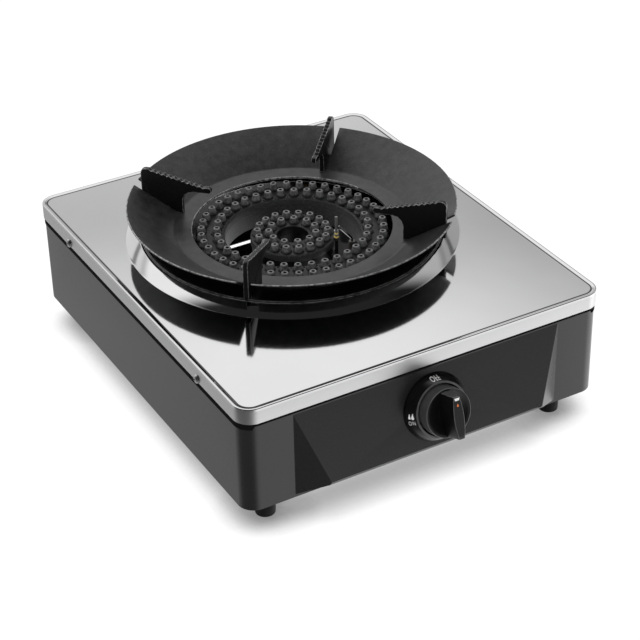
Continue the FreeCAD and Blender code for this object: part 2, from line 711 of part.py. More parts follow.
def valve_body():
    flange = Part.makeBox(VALVE_FLANGE_WIDTH, VALVE_FLANGE_HEIGHT, VALVE_FLANGE,
                          V(-VALVE_FLANGE_WIDTH / 2, -VALVE_FLANGE_HEIGHT / 2, -BODY_WALL - VALVE_FLANGE))
    barrel = cylinder(VALVE_RADIUS, V(0, 0, -BODY_WALL), V(0, 0, -VALVE_LENGTH))
    port = cylinder(PORT_RADIUS, V(0, 0, -PORT_DEPTH), V(PORT_REACH, 0, -PORT_DEPTH))
    tail = cylinder(PORT_RADIUS, V(0, 0, -VALVE_LENGTH), V(0, 0, -VALVE_LENGTH - PORT_RADIUS))
    valve = flange.fuse([barrel, port, tail])
    chamber = cylinder(VALVE_CHAMBER_RADIUS, V(0, 0, -VALVE_CHAMBER_START), V(0, 0, -chamber_end))
    throat = cylinder(SPINDLE_RADIUS + SPINDLE_FIT, V(0, 0, 1), V(0, 0, -VALVE_CHAMBER_START))
    cuts = [chamber, throat]
    for side in (-1, 1):
        x = side * VALVE_SCREW_X
        cuts.append(cylinder(VALVE_SCREW_SHANK, V(x, 0, 1), V(x, 0, -BODY_WALL - VALVE_FLANGE - 1)))
    return at_panel(valve.cut(cuts).removeSplitter())


def valve_screws():
    screws = []
    for side in (-1, 1):
        x = side * VALVE_SCREW_X
        shank = cylinder(VALVE_SCREW_SHANK, V(x, 0, -BODY_WALL - VALVE_FLANGE), V(x, 0, 0))
        head = cylinder(VALVE_SCREW_HEAD, V(x, 0, 0), V(x, 0, VALVE_SCREW_DEPTH))
        screws.append(at_panel(shank.fuse(head)))
    return Part.makeCompound(screws)


def valve_spindle():
    end = -PLUNGER_START + SEAT_GAP
    return at_panel(cylinder(SPINDLE_RADIUS, V(0, 0, end), V(0, 0, knob_back + KNOB_BORE_DEPTH - SEAT_GAP)))


def valve_plunger():
    return at_panel(cylinder(PLUNGER_RADIUS, V(0, 0, -PLUNGER_START), V(0, 0, -spring_start)))


def valve_return_spring():
    inner = SPRING_RADIUS - SPRING_WIRE
    return at_panel(tube(inner, SPRING_RADIUS, V(0, 0, -spring_start), V(0, 0, -chamber_end)))


def knob_clip():
    inner = SPINDLE_RADIUS + SPINDLE_FIT
    start = V(0, 0, knob_back)
    return at_panel(tube(inner, inner + CLIP_WALL, start, V(0, 0, knob_back + KNOB_BORE_DEPTH - SEAT_GAP)))


def dial_bezel():
    floor = BEZEL_FLOOR
    profile = [(BEZEL_RADIUS - BEZEL_SKIN * 2, 0), (BEZEL_RADIUS, 0), (BEZEL_RADIUS, BEZEL_SKIN),
               (BEZEL_TOP_RADIUS, BEZEL_HEIGHT), (WELL_RADIUS, BEZEL_HEIGHT), (WELL_RADIUS, floor),
               (SPINDLE_RADIUS + KNOB_GAP, floor), (SPINDLE_RADIUS + KNOB_GAP, floor - BEZEL_SKIN),
               (BEZEL_RADIUS - BEZEL_SKIN * 2, floor - BEZEL_SKIN)]
    return at_panel(turned(profile, 0, 0))


def grip_section(length, middle, end, out):
    """Outline of the knob's bar at one height, bulging towards its middle."""
    corners = [V(sx * end / 2, sy * length / 2, out) for sx, sy in ((1, -1), (1, 1), (-1, 1), (-1, -1))]
    right = Part.Arc(corners[0], V(middle / 2, 0, out), corners[1]).toShape()
    top = Part.LineSegment(corners[1], corners[2]).toShape()
    left = Part.Arc(corners[2], V(-middle / 2, 0, out), corners[3]).toShape()
    bottom = Part.LineSegment(corners[3], corners[0]).toShape()
    return Part.Wire([right, top, left, bottom])


def control_knob():
    root = WELL_RADIUS - KNOB_GAP
    edge = (KNOB_FACE - knob_back) * 0.12
    skirt = turned([(0, knob_back), (root, knob_back), (KNOB_FACE_RADIUS, KNOB_FACE - edge),
                    (KNOB_FACE_RADIUS - edge, KNOB_FACE), (0, KNOB_FACE)], 0, 0)
    length = GRIP_ROOT_LENGTH - edge * 4
    start = grip_section(length, GRIP_ROOT_WIDTH, GRIP_ROOT_END, KNOB_FACE - edge * 2)
    end = grip_section(GRIP_FRONT_LENGTH, GRIP_FRONT_WIDTH, GRIP_FRONT_END, GRIP_FRONT)
    grip = Part.makeLoft([start, end], True, True)
    knob = skirt.fuse(grip).removeSplitter()
    return at_panel(knob.cut(cylinder(KNOB_BORE, V(0, 0, knob_back), V(0, 0, knob_back + KNOB_BORE_DEPTH))))


def valve_outlet_pipe():
    tail = panel_point(0, 0, -VALVE_LENGTH - PORT_RADIUS)
    ahead = panel_point(0, 0, -VALVE_LENGTH - PORT_RADIUS - PIPE_BEND)
    under = V(0, block_y, tube_z - BLOCK_SIZE / 2)
    corner = V(0, block_y, ahead.z - (block_y - ahead.y) * math.tan(lean_angle))
    return bent_rod([tail, corner, under], PIPE_RADIUS, PIPE_BEND)


def gas_supply_pipe():
    port = panel_point(PORT_REACH, 0, -PORT_DEPTH)
    turn = V(INLET_X, port.y, port.z)
    level = V(INLET_X, port.y + (port.z - inlet_z) * 2 + PIPE_BEND * 3, inlet_z)
    end = V(INLET_X, body_rear - BODY_WALL - INLET_INSIDE, inlet_z)
    return bent_rod([port, turn, level, end], PIPE_RADIUS, PIPE_BEND)


def hose_inlet():
    face = body_rear
    hex_start = face + WASHER_SHEET
    hex_end = hex_start + INLET_HEX_LENGTH
    tip = -panel_point(0, -GRIP_FRONT_LENGTH / 2, GRIP_FRONT).y
    stem_end = tip - SPIGOT_LENGTH
    inside = face - BODY_WALL - INLET_INSIDE
    at = [V(INLET_X, y, inlet_z) for y in (inside, hex_start, hex_end, stem_end, tip)]
    thread = cylinder(INLET_THREAD, at[0], at[1])
    spigot = cylinder(SPIGOT_RADIUS, at[3], at[4])
    end = [edge for edge in spigot.Edges if edge.BoundBox.YMin > tip - 0.01]
    spigot = spigot.makeChamfer(SPIGOT_CHAMFER, end)
    inlet = thread.fuse([hex_bar(INLET_HEX, at[1], at[2]), cylinder(INLET_THREAD, at[2], at[3]), spigot])
    return inlet.cut(cylinder(INLET_BORE, at[0], at[4]))


def inlet_nut():
    start = V(INLET_X, body_rear - BODY_WALL, inlet_z)
    end = start - V(0, NUT_LENGTH, 0)
    return hex_bar(NUT_HEX, end, start).cut(cylinder(INLET_THREAD + SPINDLE_FIT, end, start))


def inlet_washer():
    start = V(INLET_X, body_rear, inlet_z)
    return tube(INLET_THREAD + SLOT_PLAY, WASHER_RADIUS, start, start + V(0, WASHER_SHEET, 0))


def base_ring():
    shelf = base_top - BASE_FALL
    inner = BASE_RADIUS - BASE_SHEET
    wall = [(inner, base_bottom), (BASE_RADIUS, base_bottom), (BASE_RADIUS, base_top - BASE_EDGE),
            (BASE_RADIUS - BASE_EDGE, base_top), (inner, base_top)]
    top = [(inner - BASE_SHEET, base_top - BASE_SHEET), (BASE_INNER, shelf), (BASE_INNER, shelf - BASE_SHEET),
           (inner, base_top - BASE_SHEET * 2)]
    ring = turned(wall + top)
    leg_foot = prong_leg_foot()
    slot = PRONG_SHEET + SLOT_PLAY * 2
    for angle in PRONG_ANGLES.values():
        gap = Part.makeBox(PRONG_TAB_WIDTH + SLOT_PLAY * 2, slot, BASE_HEIGHT,
                           V(tab_inner - SLOT_PLAY, BURNER_Y - slot / 2, leg_foot - SLOT_PLAY))
        ring = ring.cut(around(gap, angle))
    return ring.removeSplitter()


def prong_leg_foot():
    return base_top - PRONG_LEG_DROP


def wok_shield():
    run = shield_rim - SHIELD_CREASE
    slant = math.hypot(run, SHIELD_RISE)
    drop = SHIELD_SHEET * slant / run
    bowl = turned([(SHIELD_HOLE, shield_floor), (SHIELD_CREASE, shield_floor), (shield_rim, shield_top),
                   (shield_rim, shield_top - drop), (SHIELD_CREASE, shield_floor - drop),
                   (SHIELD_HOLE, shield_floor - drop)])
    low = shield_floor - drop - 1
    outline = [(SHIELD_CREASE, NOTCH_ROOT / 2), (shield_rim + 2, NOTCH_RIM / 2),
               (shield_rim + 2, -NOTCH_RIM / 2), (SHIELD_CREASE, -NOTCH_ROOT / 2)]
    points = [V(r, BURNER_Y + half, low) for r, half in outline]
    notch = Part.Face(Part.makePolygon(points + points[:1])).extrude(V(0, 0, SHIELD_RISE * 2))
    return bowl.cut([around(notch, angle) for angle in PRONG_ANGLES.values()])


def prong_outline():
    """Corners of the toothed plate as (radius, height), from the inner foot round the tip to the leg."""
    corner = prong_outer - PRONG_CORNER
    tooth_start = PRONG_TIP_RADIUS + PRONG_TIP_HEIGHT
    slope = (prong_top - prong_tip_top) / (corner - tooth_start)
    pitch = (corner - tooth_start) / TOOTH_COUNT
    teeth = []
    for k in range(TOOTH_COUNT):
        r = tooth_start + k * pitch
        z = prong_tip_top + slope * (r - tooth_start)
        teeth.append((r, z))
        teeth.append((r + pitch * 0.5, z + slope * pitch * 0.5 - TOOTH_DEPTH))
    under = prong_tip_top - PRONG_TIP_HEIGHT
    foot = prong_leg_foot()
    throat = shield_floor + (tab_inner - SHIELD_CREASE) * 0.1
    arm = [(PRONG_FOOT_INNER, shield_floor), (PRONG_FOOT_INNER, under)]
    tip = [(PRONG_TIP_RADIUS, under), (PRONG_TIP_RADIUS, prong_tip_top)]
    shoulder = base_top + PRONG_SHOULDER
    leg = [(corner, prong_top), (prong_outer, prong_top), (prong_outer, shoulder), (tab_outer, shoulder),
           (tab_outer, foot), (tab_inner, foot), (tab_inner, throat),
           (SHIELD_CREASE + SLOT_PLAY, shield_floor)]
    return arm + tip + teeth + leg


def corner_edges(plate, radius, height):
    """Edges across the plate at one corner of its outline."""
    return [edge for edge in plate.Edges
            if edge.BoundBox.YLength > PRONG_SHEET / 2
            and math.hypot(edge.CenterOfMass.x - radius, edge.CenterOfMass.z - height) < 0.01]


def prong(angle):
    points = [V(r, BURNER_Y - PRONG_SHEET / 2, z) for r, z in prong_outline()]
    plate = Part.Face(Part.makePolygon(points + points[:1])).extrude(V(0, PRONG_SHEET, 0))
    under = prong_tip_top - PRONG_TIP_HEIGHT
    rounds = ((PRONG_FOOT_INNER, under, PRONG_FILLET), (PRONG_TIP_RADIUS, under, PRONG_TIP_HEIGHT * 0.45),
              (PRONG_TIP_RADIUS, prong_tip_top, PRONG_TIP_HEIGHT * 0.45),
              (prong_outer, prong_top, PRONG_CORNER * 0.9))
    for radius, height, size in rounds:
        plate = plate.makeFillet(size, corner_edges(plate, radius, height))
    return around(plate, angle)


def probe_places():
    return polar(PROBE_RADIUS, PROBE_ANGLE, 0), polar(INSULATOR_PLACE, INSULATOR_ANGLE, 0)


def thermocouple():
    spot, _ = probe_places()
    stem_foot = shelf_top - SHELF_SHEET - COLLAR_HEIGHT / 2
    stem = upright(COLLAR_RADIUS * 0.7, spot.x, spot.y, stem_foot, collar_top)
    collar = upright(COLLAR_RADIUS, spot.x, spot.y, collar_top - COLLAR_HEIGHT, collar_top)
    pin = upright(PROBE_PIN, spot.x, spot.y, collar_top, probe_top)
    return stem.fuse([collar, pin])


def electrode_insulator():
    _, spot = probe_places()
    body = upright(INSULATOR_RADIUS, spot.x, spot.y, insulator_top - INSULATOR_LENGTH, insulator_top)
    return body.cut(upright(ELECTRODE_WIRE, spot.x, spot.y, insulator_top - INSULATOR_LENGTH, insulator_top))


def spark_electrode():
    target, spot = probe_places()
    low = V(spot.x, spot.y, insulator_top - INSULATOR_LENGTH)
    bend = V(spot.x, spot.y, insulator_top + ELECTRODE_BEND)
    tip = spot + (target - spot) * ELECTRODE_REACH + V(0, 0, insulator_top + ELECTRODE_RISE)
    return bent_rod([low, bend, tip], ELECTRODE_WIRE, ELECTRODE_WIRE * 4)


def ignition_bracket():
    """Small shelf on the front spoke, holding the probe and the insulator."""
    probe, ceramic = probe_places()
    depth = SHELF_OUTER - SHELF_INNER
    shelf = Part.makeBox(depth, SHELF_LENGTH, SHELF_SHEET,
                         V(SHELF_INNER, BURNER_Y - SHELF_LENGTH / 2, shelf_top - SHELF_SHEET))
    spoke_top = trough_floor + SPOKE_HEIGHT
    leg = Part.makeBox(depth, SHELF_SHEET, shelf_top - spoke_top,
                       V(SHELF_INNER, BURNER_Y - SHELF_SHEET / 2, spoke_top))
    holes = [upright(COLLAR_RADIUS * 0.7 + SPINDLE_FIT, probe.x, probe.y, spoke_top, shelf_top),
             upright(INSULATOR_RADIUS + SPINDLE_FIT, ceramic.x, ceramic.y, spoke_top, shelf_top)]
    return around(shelf.fuse(leg), first_spoke).cut(holes)


def thermocouple_lead():
    probe, _ = probe_places()
    start = V(probe.x, probe.y, shelf_top - SHELF_SHEET - COLLAR_HEIGHT / 2)
    side = V(TUBE_X * 2.2, probe.y, tube_z - TUBE_RADIUS)
    low = V(TUBE_X * 2.2, block_y, tube_z - BLOCK_SIZE)
    port = panel_point(VALVE_RADIUS * 0.5, VALVE_RADIUS * 0.5, -VALVE_LENGTH)
    drop = start - V(0, 0, LEAD_BEND)
    behind = port - knob_axis * LEAD_BEND * 2
    return bent_rod([start, drop, side, low, behind, port], LEAD_RADIUS, LEAD_BEND * 0.3)


def piezo_igniter():
    """Spark unit seated on the back of the valve flange."""
    inner = VALVE_RADIUS + SLOT_PLAY
    seat = -BODY_WALL - VALVE_FLANGE
    box = Part.makeBox(VALVE_FLANGE_WIDTH / 2 - inner, IGNITER_HEIGHT, IGNITER_LENGTH,
                       V(-VALVE_FLANGE_WIDTH / 2, -IGNITER_HEIGHT / 2, seat - IGNITER_LENGTH))
    return at_panel(box)


def ignition_lead():
    _, ceramic = probe_places()
    x = -(VALVE_FLANGE_WIDTH / 2 + VALVE_RADIUS) / 2
    start = panel_point(x, 0, -BODY_WALL - VALVE_FLANGE - IGNITER_LENGTH)
    end = V(ceramic.x, ceramic.y, insulator_top - INSULATOR_LENGTH)
    below = end - V(0, 0, LEAD_BEND)
    behind = start - knob_axis * LEAD_BEND
    first = V(start.x, behind.y + LEAD_BEND, lead_low)
    cross = V(LEAD_SIDE, first.y + LEAD_SIDE / 2, lead_low)
    clear = below.y + LEAD_BEND / 2
    under = V(LEAD_SIDE, clear, lead_low)
    above = V(LEAD_SIDE, clear, below.z - LEAD_BEND / 2)
    return bent_rod([start, behind, first, cross, under, above, below, end], LEAD_RADIUS, LEAD_BEND * 0.3)


def save(name, shape):
    if not shape.isValid():
        raise ValueError(name + " is not a valid shape")
    shape.exportStep("parts/" + name + ".step")
    print(name, len(shape.Solids), "solids", round(shape.Volume / 1000, 2), "cm3")


def main():
    os.makedirs("parts", exist_ok=True)
    save("top_plate", top_plate())
    save("body_shell", body_shell())
    save("lid_screws", lid_screws())
    save("rubber_feet", rubber_feet())
    save("foot_screws", foot_screws())
    save("burner_bracket", burner_bracket())
    save("bracket_screws", bracket_screws())
    save("burner_body", burner_body())
    save("burner_screws", burner_screws())
    save("outer_burner_head", outer_burner_head())
    save("inner_burner_head", inner_burner_head())
    save("outer_air_shutter", air_shutter(TUBE_X))
    save("inner_air_shutter", air_shutter(-TUBE_X))
    save("outer_injector", injector(TUBE_X))
    save("inner_injector", injector(-TUBE_X))
    save("injector_block", injector_block())
    save("valve_body", valve_body())
    save("valve_screws", valve_screws())
    save("valve_spindle", valve_spindle())
    save("valve_plunger", valve_plunger())
    save("valve_return_spring", valve_return_spring())
    save("knob_clip", knob_clip())
    save("dial_bezel", dial_bezel())
    save("control_knob", control_knob())
    save("valve_outlet_pipe", valve_outlet_pipe())
    save("gas_supply_pipe", gas_supply_pipe())
    save("hose_inlet", hose_inlet())
    save("inlet_nut", inlet_nut())
    save("inlet_washer", inlet_washer())
    save("base_ring", base_ring())
    save("wok_shield", wok_shield())
    for place, angle in PRONG_ANGLES.items():
        save("prong_" + place, prong(angle))
    save("thermocouple", thermocouple())
    save("electrode_insulator", electrode_insulator())
    save("spark_electrode", spark_electrode())
    save("ignition_bracket", ignition_bracket())
    save("thermocouple_lead", thermocouple_lead())
    save("piezo_igniter", piezo_igniter())
    save("ignition_lead", ignition_lead())


main()
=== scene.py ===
# %% [markdown]
# # A single burner gas stove
#
# The real stove is a polished steel lid on a black sheet casing, with a ring burner under a dished
# wok shield and one dial on its leaning front. The CAD frame already holds every piece at its true
# size. This lesson loads that frame, models again the pieces whose edges and castings catch the
# light, and gives each surface its own finish.

# %% Load the frame
import json
import math
import random

import bpy
from mathutils import Matrix, Vector

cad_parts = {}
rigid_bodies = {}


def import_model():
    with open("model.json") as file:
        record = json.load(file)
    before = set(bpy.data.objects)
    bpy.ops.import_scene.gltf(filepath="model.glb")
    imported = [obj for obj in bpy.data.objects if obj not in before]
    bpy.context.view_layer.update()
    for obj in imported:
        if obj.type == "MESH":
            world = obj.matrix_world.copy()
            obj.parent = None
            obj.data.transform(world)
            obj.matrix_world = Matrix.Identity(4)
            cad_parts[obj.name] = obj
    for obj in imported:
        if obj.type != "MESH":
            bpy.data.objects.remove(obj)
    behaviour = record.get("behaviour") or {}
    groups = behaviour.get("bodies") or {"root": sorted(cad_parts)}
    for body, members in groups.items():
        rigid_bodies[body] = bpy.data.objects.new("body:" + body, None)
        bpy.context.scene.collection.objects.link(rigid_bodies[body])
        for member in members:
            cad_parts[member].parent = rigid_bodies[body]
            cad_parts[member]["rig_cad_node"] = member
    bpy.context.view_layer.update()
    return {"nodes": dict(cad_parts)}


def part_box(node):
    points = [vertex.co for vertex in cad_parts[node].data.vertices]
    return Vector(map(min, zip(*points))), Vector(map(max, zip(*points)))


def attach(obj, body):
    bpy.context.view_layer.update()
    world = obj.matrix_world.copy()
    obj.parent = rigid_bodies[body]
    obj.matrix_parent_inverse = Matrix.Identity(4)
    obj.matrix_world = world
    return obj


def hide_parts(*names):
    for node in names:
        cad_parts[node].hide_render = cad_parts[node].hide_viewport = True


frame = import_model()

nodes = frame["nodes"]
MM = 0.001

# %% [markdown]
# ## Camera
#
# A camera can be aimed by eye, with a track constraint, or from known angles. The photograph's
# angles were worked out from the straight edges of the lid, so the three axes of the camera are
# written down directly: back towards the photographer, to the right, and up, with a slight roll.

# %% Camera
CAMERA_AZIMUTH = math.radians(-29.29)
CAMERA_HEIGHT = math.radians(32.53)
CAMERA_ROLL = math.radians(-1.24)
CAMERA_PLACE = Vector((-631.4, -1142.9, 872.2)) * MM
LENS = 107.38

back = Vector((math.sin(CAMERA_AZIMUTH) * math.cos(CAMERA_HEIGHT),
               -math.cos(CAMERA_AZIMUTH) * math.cos(CAMERA_HEIGHT), math.sin(CAMERA_HEIGHT)))
level = Vector((math.cos(CAMERA_AZIMUTH), math.sin(CAMERA_AZIMUTH), 0))
upward = back.cross(level)
right = level * math.cos(CAMERA_ROLL) + upward * math.sin(CAMERA_ROLL)
top = upward * math.cos(CAMERA_ROLL) - level * math.sin(CAMERA_ROLL)
bpy.ops.object.camera_add()
camera = bpy.context.object
camera.data.lens = LENS
camera.data.sensor_width = 36
camera.data.clip_start = 0.05
camera.matrix_world = Matrix.Translation(CAMERA_PLACE) @ Matrix((right, top, back)).transposed().to_4x4()
bpy.context.scene.camera = camera
print("camera stands", round((CAMERA_PLACE - Vector((0, 0, 0.06))).length, 2), "m from the stove")

# %% [markdown]
# ## Tools for modelling
#
# The same few moves are used again and again by hand: clear the selection, pick faces or edges by
# where they are, draw an outline by extruding one vertex, spin it on an axis, apply a modifier.
# Each becomes a short helper here, so that the later cells read like steps at the bench.

# %% Selecting and finishing helpers


def rest():
    """Object mode with nothing selected."""
    if bpy.context.mode != "OBJECT":
        bpy.ops.object.mode_set(mode="OBJECT")
    bpy.ops.object.select_all(action="DESELECT")


def take(piece):
    rest()
    piece.select_set(True)
    bpy.context.view_layer.objects.active = piece


def named(name):
    piece = bpy.context.object
    piece.name = name
    piece.data.name = name
    return piece


def pick(piece, kind, test):
    """Edit mode with the vertices, edges or faces selected whose place passes a test."""
    take(piece)
    bpy.ops.object.mode_set(mode="EDIT")
    bpy.ops.mesh.select_mode(type=kind)
    bpy.ops.mesh.select_all(action="DESELECT")
    bpy.ops.object.mode_set(mode="OBJECT")
    mesh = piece.data
    if kind == "FACE":
        for face in mesh.polygons:
            face.select = test(face.center / MM, face.normal)
    elif kind == "EDGE":
        for edge in mesh.edges:
            edge.select = all(test(mesh.vertices[k].co / MM) for k in edge.vertices)
    else:
        for vertex in mesh.vertices:
            vertex.select = test(vertex.co / MM)
    bpy.ops.object.mode_set(mode="EDIT")


def anywhere(place, normal=None):
    """A test that every vertex, edge and face passes."""
    return True


def modify(piece, kind, **settings):
    """Add one modifier, set it and apply it."""
    take(piece)
    modifier = piece.modifiers.new(kind.lower(), kind)
    for key, value in settings.items():
        setattr(modifier, key, value)
    bpy.ops.object.modifier_apply(modifier=modifier.name)


def smooth(piece, degrees=35):
    take(piece)
    bpy.ops.object.shade_smooth_by_angle(angle=math.radians(degrees))


def combine(piece, other, operation="DIFFERENCE"):
    """Cut another solid out of a piece, or add it, and drop the other."""
    modify(piece, "BOOLEAN", operation=operation, object=other, solver="EXACT")
    bpy.data.objects.remove(other)


def round_edges(piece, width, segments=2, degrees=30, slot=-1):
    """Break sharp edges, and give the new faces the finish of a slot where one is named."""
    modify(piece, "BEVEL", width=width * MM, segments=segments, limit_method="ANGLE",
           angle_limit=math.radians(degrees), material=slot)


def clean(piece):
    """Merge doubled points and turn every face outwards."""
    pick(piece, "VERT", anywhere)
    bpy.ops.mesh.remove_doubles(threshold=MM / 1000)
    bpy.ops.mesh.normals_make_consistent(inside=False)
    rest()


def settle():
    """Put the active piece's place, turn and size into its mesh."""
    bpy.ops.object.transform_apply(location=True, rotation=True, scale=True)


def set_place(piece, location, turn=(0, 0, 0)):
    """Move and turn a piece, then put that place into its mesh."""
    take(piece)
    piece.location = location
    piece.rotation_euler = turn
    settle()


# %% Outline and lathe helpers
BURNER_Y = 24.5


def soften(corners, steps=4):
    """Corners as (across, up, round) turned into points, with an arc at each round corner."""
    points = []
    for before, corner, after in zip(corners[-1:] + corners[:-1], corners, corners[1:] + corners[:1]):
        here = Vector(corner[:2])
        size = corner[2]
        if not size:
            points.append(here)
            continue
        to_before = (Vector(before[:2]) - here).normalized()
        to_after = (Vector(after[:2]) - here).normalized()
        half = to_before.angle(to_after) / 2
        centre = here + (to_before + to_after).normalized() * (size / math.sin(half))
        start = here + to_before * (size / math.tan(half)) - centre
        end = here + to_after * (size / math.tan(half)) - centre
        first = math.atan2(start.y, start.x)
        sweep = (math.atan2(end.y, end.x) - first + math.pi) % math.tau - math.pi
        for k in range(steps + 1):
            angle = first + sweep * k / steps
            points.append(centre + Vector((math.cos(angle), math.sin(angle))) * size)
    return points


def draw(name, points):
    """A line of edges drawn by extruding one vertex from point to point."""
    rest()
    bpy.ops.mesh.primitive_plane_add(size=MM)
    piece = named(name)
    bpy.ops.object.mode_set(mode="EDIT")
    bpy.ops.mesh.select_all(action="SELECT")
    bpy.ops.mesh.merge(type="CENTER")
    bpy.ops.mesh.select_all(action="SELECT")
    bpy.ops.transform.translate(value=points[0])
    for here, there in zip(points, points[1:]):
        bpy.ops.mesh.extrude_vertices_move(TRANSFORM_OT_translate={"value": there - here})
    return piece


def lathe(name, outline, steps, axis_y=BURNER_Y, closed=True):
    """A turned piece: an outline of (radius, height) points spun about an upright axis."""
    points = [Vector((r, axis_y, z)) * MM for r, z in outline]
    piece = draw(name, points + points[:1] if closed else points)
    bpy.ops.mesh.select_all(action="SELECT")
    bpy.ops.mesh.spin(steps=steps, angle=math.tau, center=(0, axis_y * MM, 0), axis=(0, 0, 1))
    clean(piece)
    return piece


def slab(name, outline, thickness):
    """A plate cut to an outline of (across, up) points, standing in the XZ plane."""
    points = [Vector((x, -thickness / 2, z)) * MM for x, z in outline]
    piece = draw(name, points + points[:1])
    clean(piece)
    pick(piece, "EDGE", anywhere)
    bpy.ops.mesh.edge_face_add()
    bpy.ops.mesh.extrude_region_move(TRANSFORM_OT_translate={"value": (0, thickness * MM, 0)})
    clean(piece)
    return piece


def copy_of(piece, name):
    """A second piece with a mesh of its own."""
    take(piece)
    bpy.ops.object.duplicate()
    return named(name)


def join(pieces):
    take(pieces[0])
    for piece in pieces:
        piece.select_set(True)
    bpy.ops.object.join()
    return pieces[0]


# %% [markdown]
# ## Shader sums
#
# A finish is a small tree of nodes. Wiring each Math node by hand hides the sum that it stands for,
# so a socket is wrapped in a class that knows plus, minus and times. An expression such as
# `0.4 + grain * 0.1` then adds the nodes by itself.

# %% Sockets as numbers


class Value:
    """A node's output that takes part in sums. Each sum adds one Math node."""

    def __init__(self, tree, socket):
        self.tree = tree
        self.socket = socket

    def sum(self, operation, first, second):
        return self.tree.node("ShaderNodeMath", {"operation": operation}, {0: first, 1: second})

    def __add__(self, other):
        return self.sum("ADD", self, other)

    __radd__ = __add__

    def __sub__(self, other):
        return self.sum("SUBTRACT", self, other)

    def __rsub__(self, other):
        return self.sum("SUBTRACT", other, self)

    def __mul__(self, other):
        return self.sum("MULTIPLY", self, other)

    __rmul__ = __mul__


class Tree:
    """A node tree that takes nodes by type, settings and socket values."""

    def __init__(self, tree):
        self.tree = tree

    def node(self, kind, settings, inputs, output=0):
        made = self.tree.nodes.new(kind)
        for key, value in settings.items():
            setattr(made, key, value)
        for key, value in inputs.items():
            self.feed(made.inputs[key], value)
        return Value(self, made.outputs[output])

    def feed(self, socket, value):
        if isinstance(value, Value):
            self.tree.links.new(value.socket, socket)
        else:
            socket.default_value = value

    def vector(self, operation, *inputs, output=0):
        """A Vector Math node on places or directions."""
        return self.node("ShaderNodeVectorMath", {"operation": operation}, dict(enumerate(inputs)), output)

    def part(self, vector, axis):
        """How far a place or direction reaches along one axis."""
        return self.node("ShaderNodeSeparateXYZ", {}, {"Vector": vector}, axis)


class Finish(Tree):
    """A material whose pattern is fixed to the piece by its Object coordinates."""

    def __init__(self, name, **sockets):
        self.material = bpy.data.materials.new(name)
        self.material.use_nodes = True
        super().__init__(self.material.node_tree)
        self.shader = self.tree.nodes["Principled BSDF"]
        self.place = self.node("ShaderNodeTexCoord", {}, {}, 3)
        self.set(**sockets)

    def set(self, **sockets):
        for key, value in sockets.items():
            self.feed(self.shader.inputs[key.replace("_", " ")], value)
        return self

    def stretched(self, scale):
        return self.node("ShaderNodeMapping", {}, {"Vector": self.place, "Scale": scale})

    def grain(self, size, detail=2.0, place=None):
        """Noise with lumps of about one size in millimetres, from 0 to 1."""
        return self.node("ShaderNodeTexNoise", {}, {"Vector": place or self.place, "Scale": 1 / (size * MM),
                                                    "Detail": detail, "Roughness": 0.55})

    def step(self, value, low, high):
        """0 below low, 1 above high and even between."""
        return self.node("ShaderNodeMapRange", {"interpolation_type": "SMOOTHSTEP"},
                         {"Value": value, "From Min": low, "From Max": high})

    def mix(self, share, first, second):
        return self.node("ShaderNodeMix", {"data_type": "RGBA"}, {0: share, 6: first, 7: second}, 2)

    def band(self, value, start, full, fade, end):
        """1 from full to fade, falling evenly to 0 at start and at end."""
        return self.step(value, start, full) * (1 - self.step(value, fade, end))

    def tone(self, pattern, low, high, rough, spread):
        """Colour and roughness that follow one pattern."""
        return self.set(Base_Color=self.mix(pattern, low, high), Roughness=rough + pattern * spread)

    def sharp_edge(self, radius):
        """1 along sharp edges and 0 on flats, from how far rounding turns the surface."""
        rounded = self.node("ShaderNodeBevel", {"samples": 6}, {"Radius": radius * MM})
        plain = self.node("ShaderNodeNewGeometry", {}, {}, "Normal")
        turned = self.vector("DOT_PRODUCT", rounded, plain, output="Value")
        return self.step(1 - turned, 0.004, 0.05)

    def relief(self, height, distance, edge=0.0):
        """Bump of a real depth in millimetres, over edges rounded by a small radius."""
        sockets = {"Strength": 1.0, "Distance": distance * MM, "Height": height}
        if edge:
            sockets["Normal"] = self.node("ShaderNodeBevel", {"samples": 6}, {"Radius": edge * MM})
        return self.set(Normal=self.node("ShaderNodeBump", {}, sockets))


def grained(name, size, detail, low, high, rough, spread, **sockets):
    """A finish whose colour and roughness follow one grain."""
    finish = Finish(name, **sockets)
    return finish.tone(finish.grain(size, detail), low, high, rough, spread)


def grey(level, blue=None):
    """A grey, with its blue a little higher or lower where one is named."""
    return (level, level, blue or level, 1)


def dress(piece, *finishes):
    for finish in finishes:
        piece.data.materials.append(finish.material)


def finish_faces(piece, slot, test):
    """Give the faces that pass a test the finish of a later slot."""
    pick(piece, "FACE", test)
    piece.active_material_index = slot
    bpy.ops.object.material_slot_assign()
    rest()


def fit(piece, body, slot, finish, *stands_for):
    """Finish an undressed piece, hang it on its body and hide the CAD nodes it stands for."""
    if not piece.data.materials:
        dress(piece, finish)
    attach(piece, body)
    if stands_for:
        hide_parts(*stands_for)
    print(piece.name, "has", len(piece.data.polygons), "faces and rides on", body)
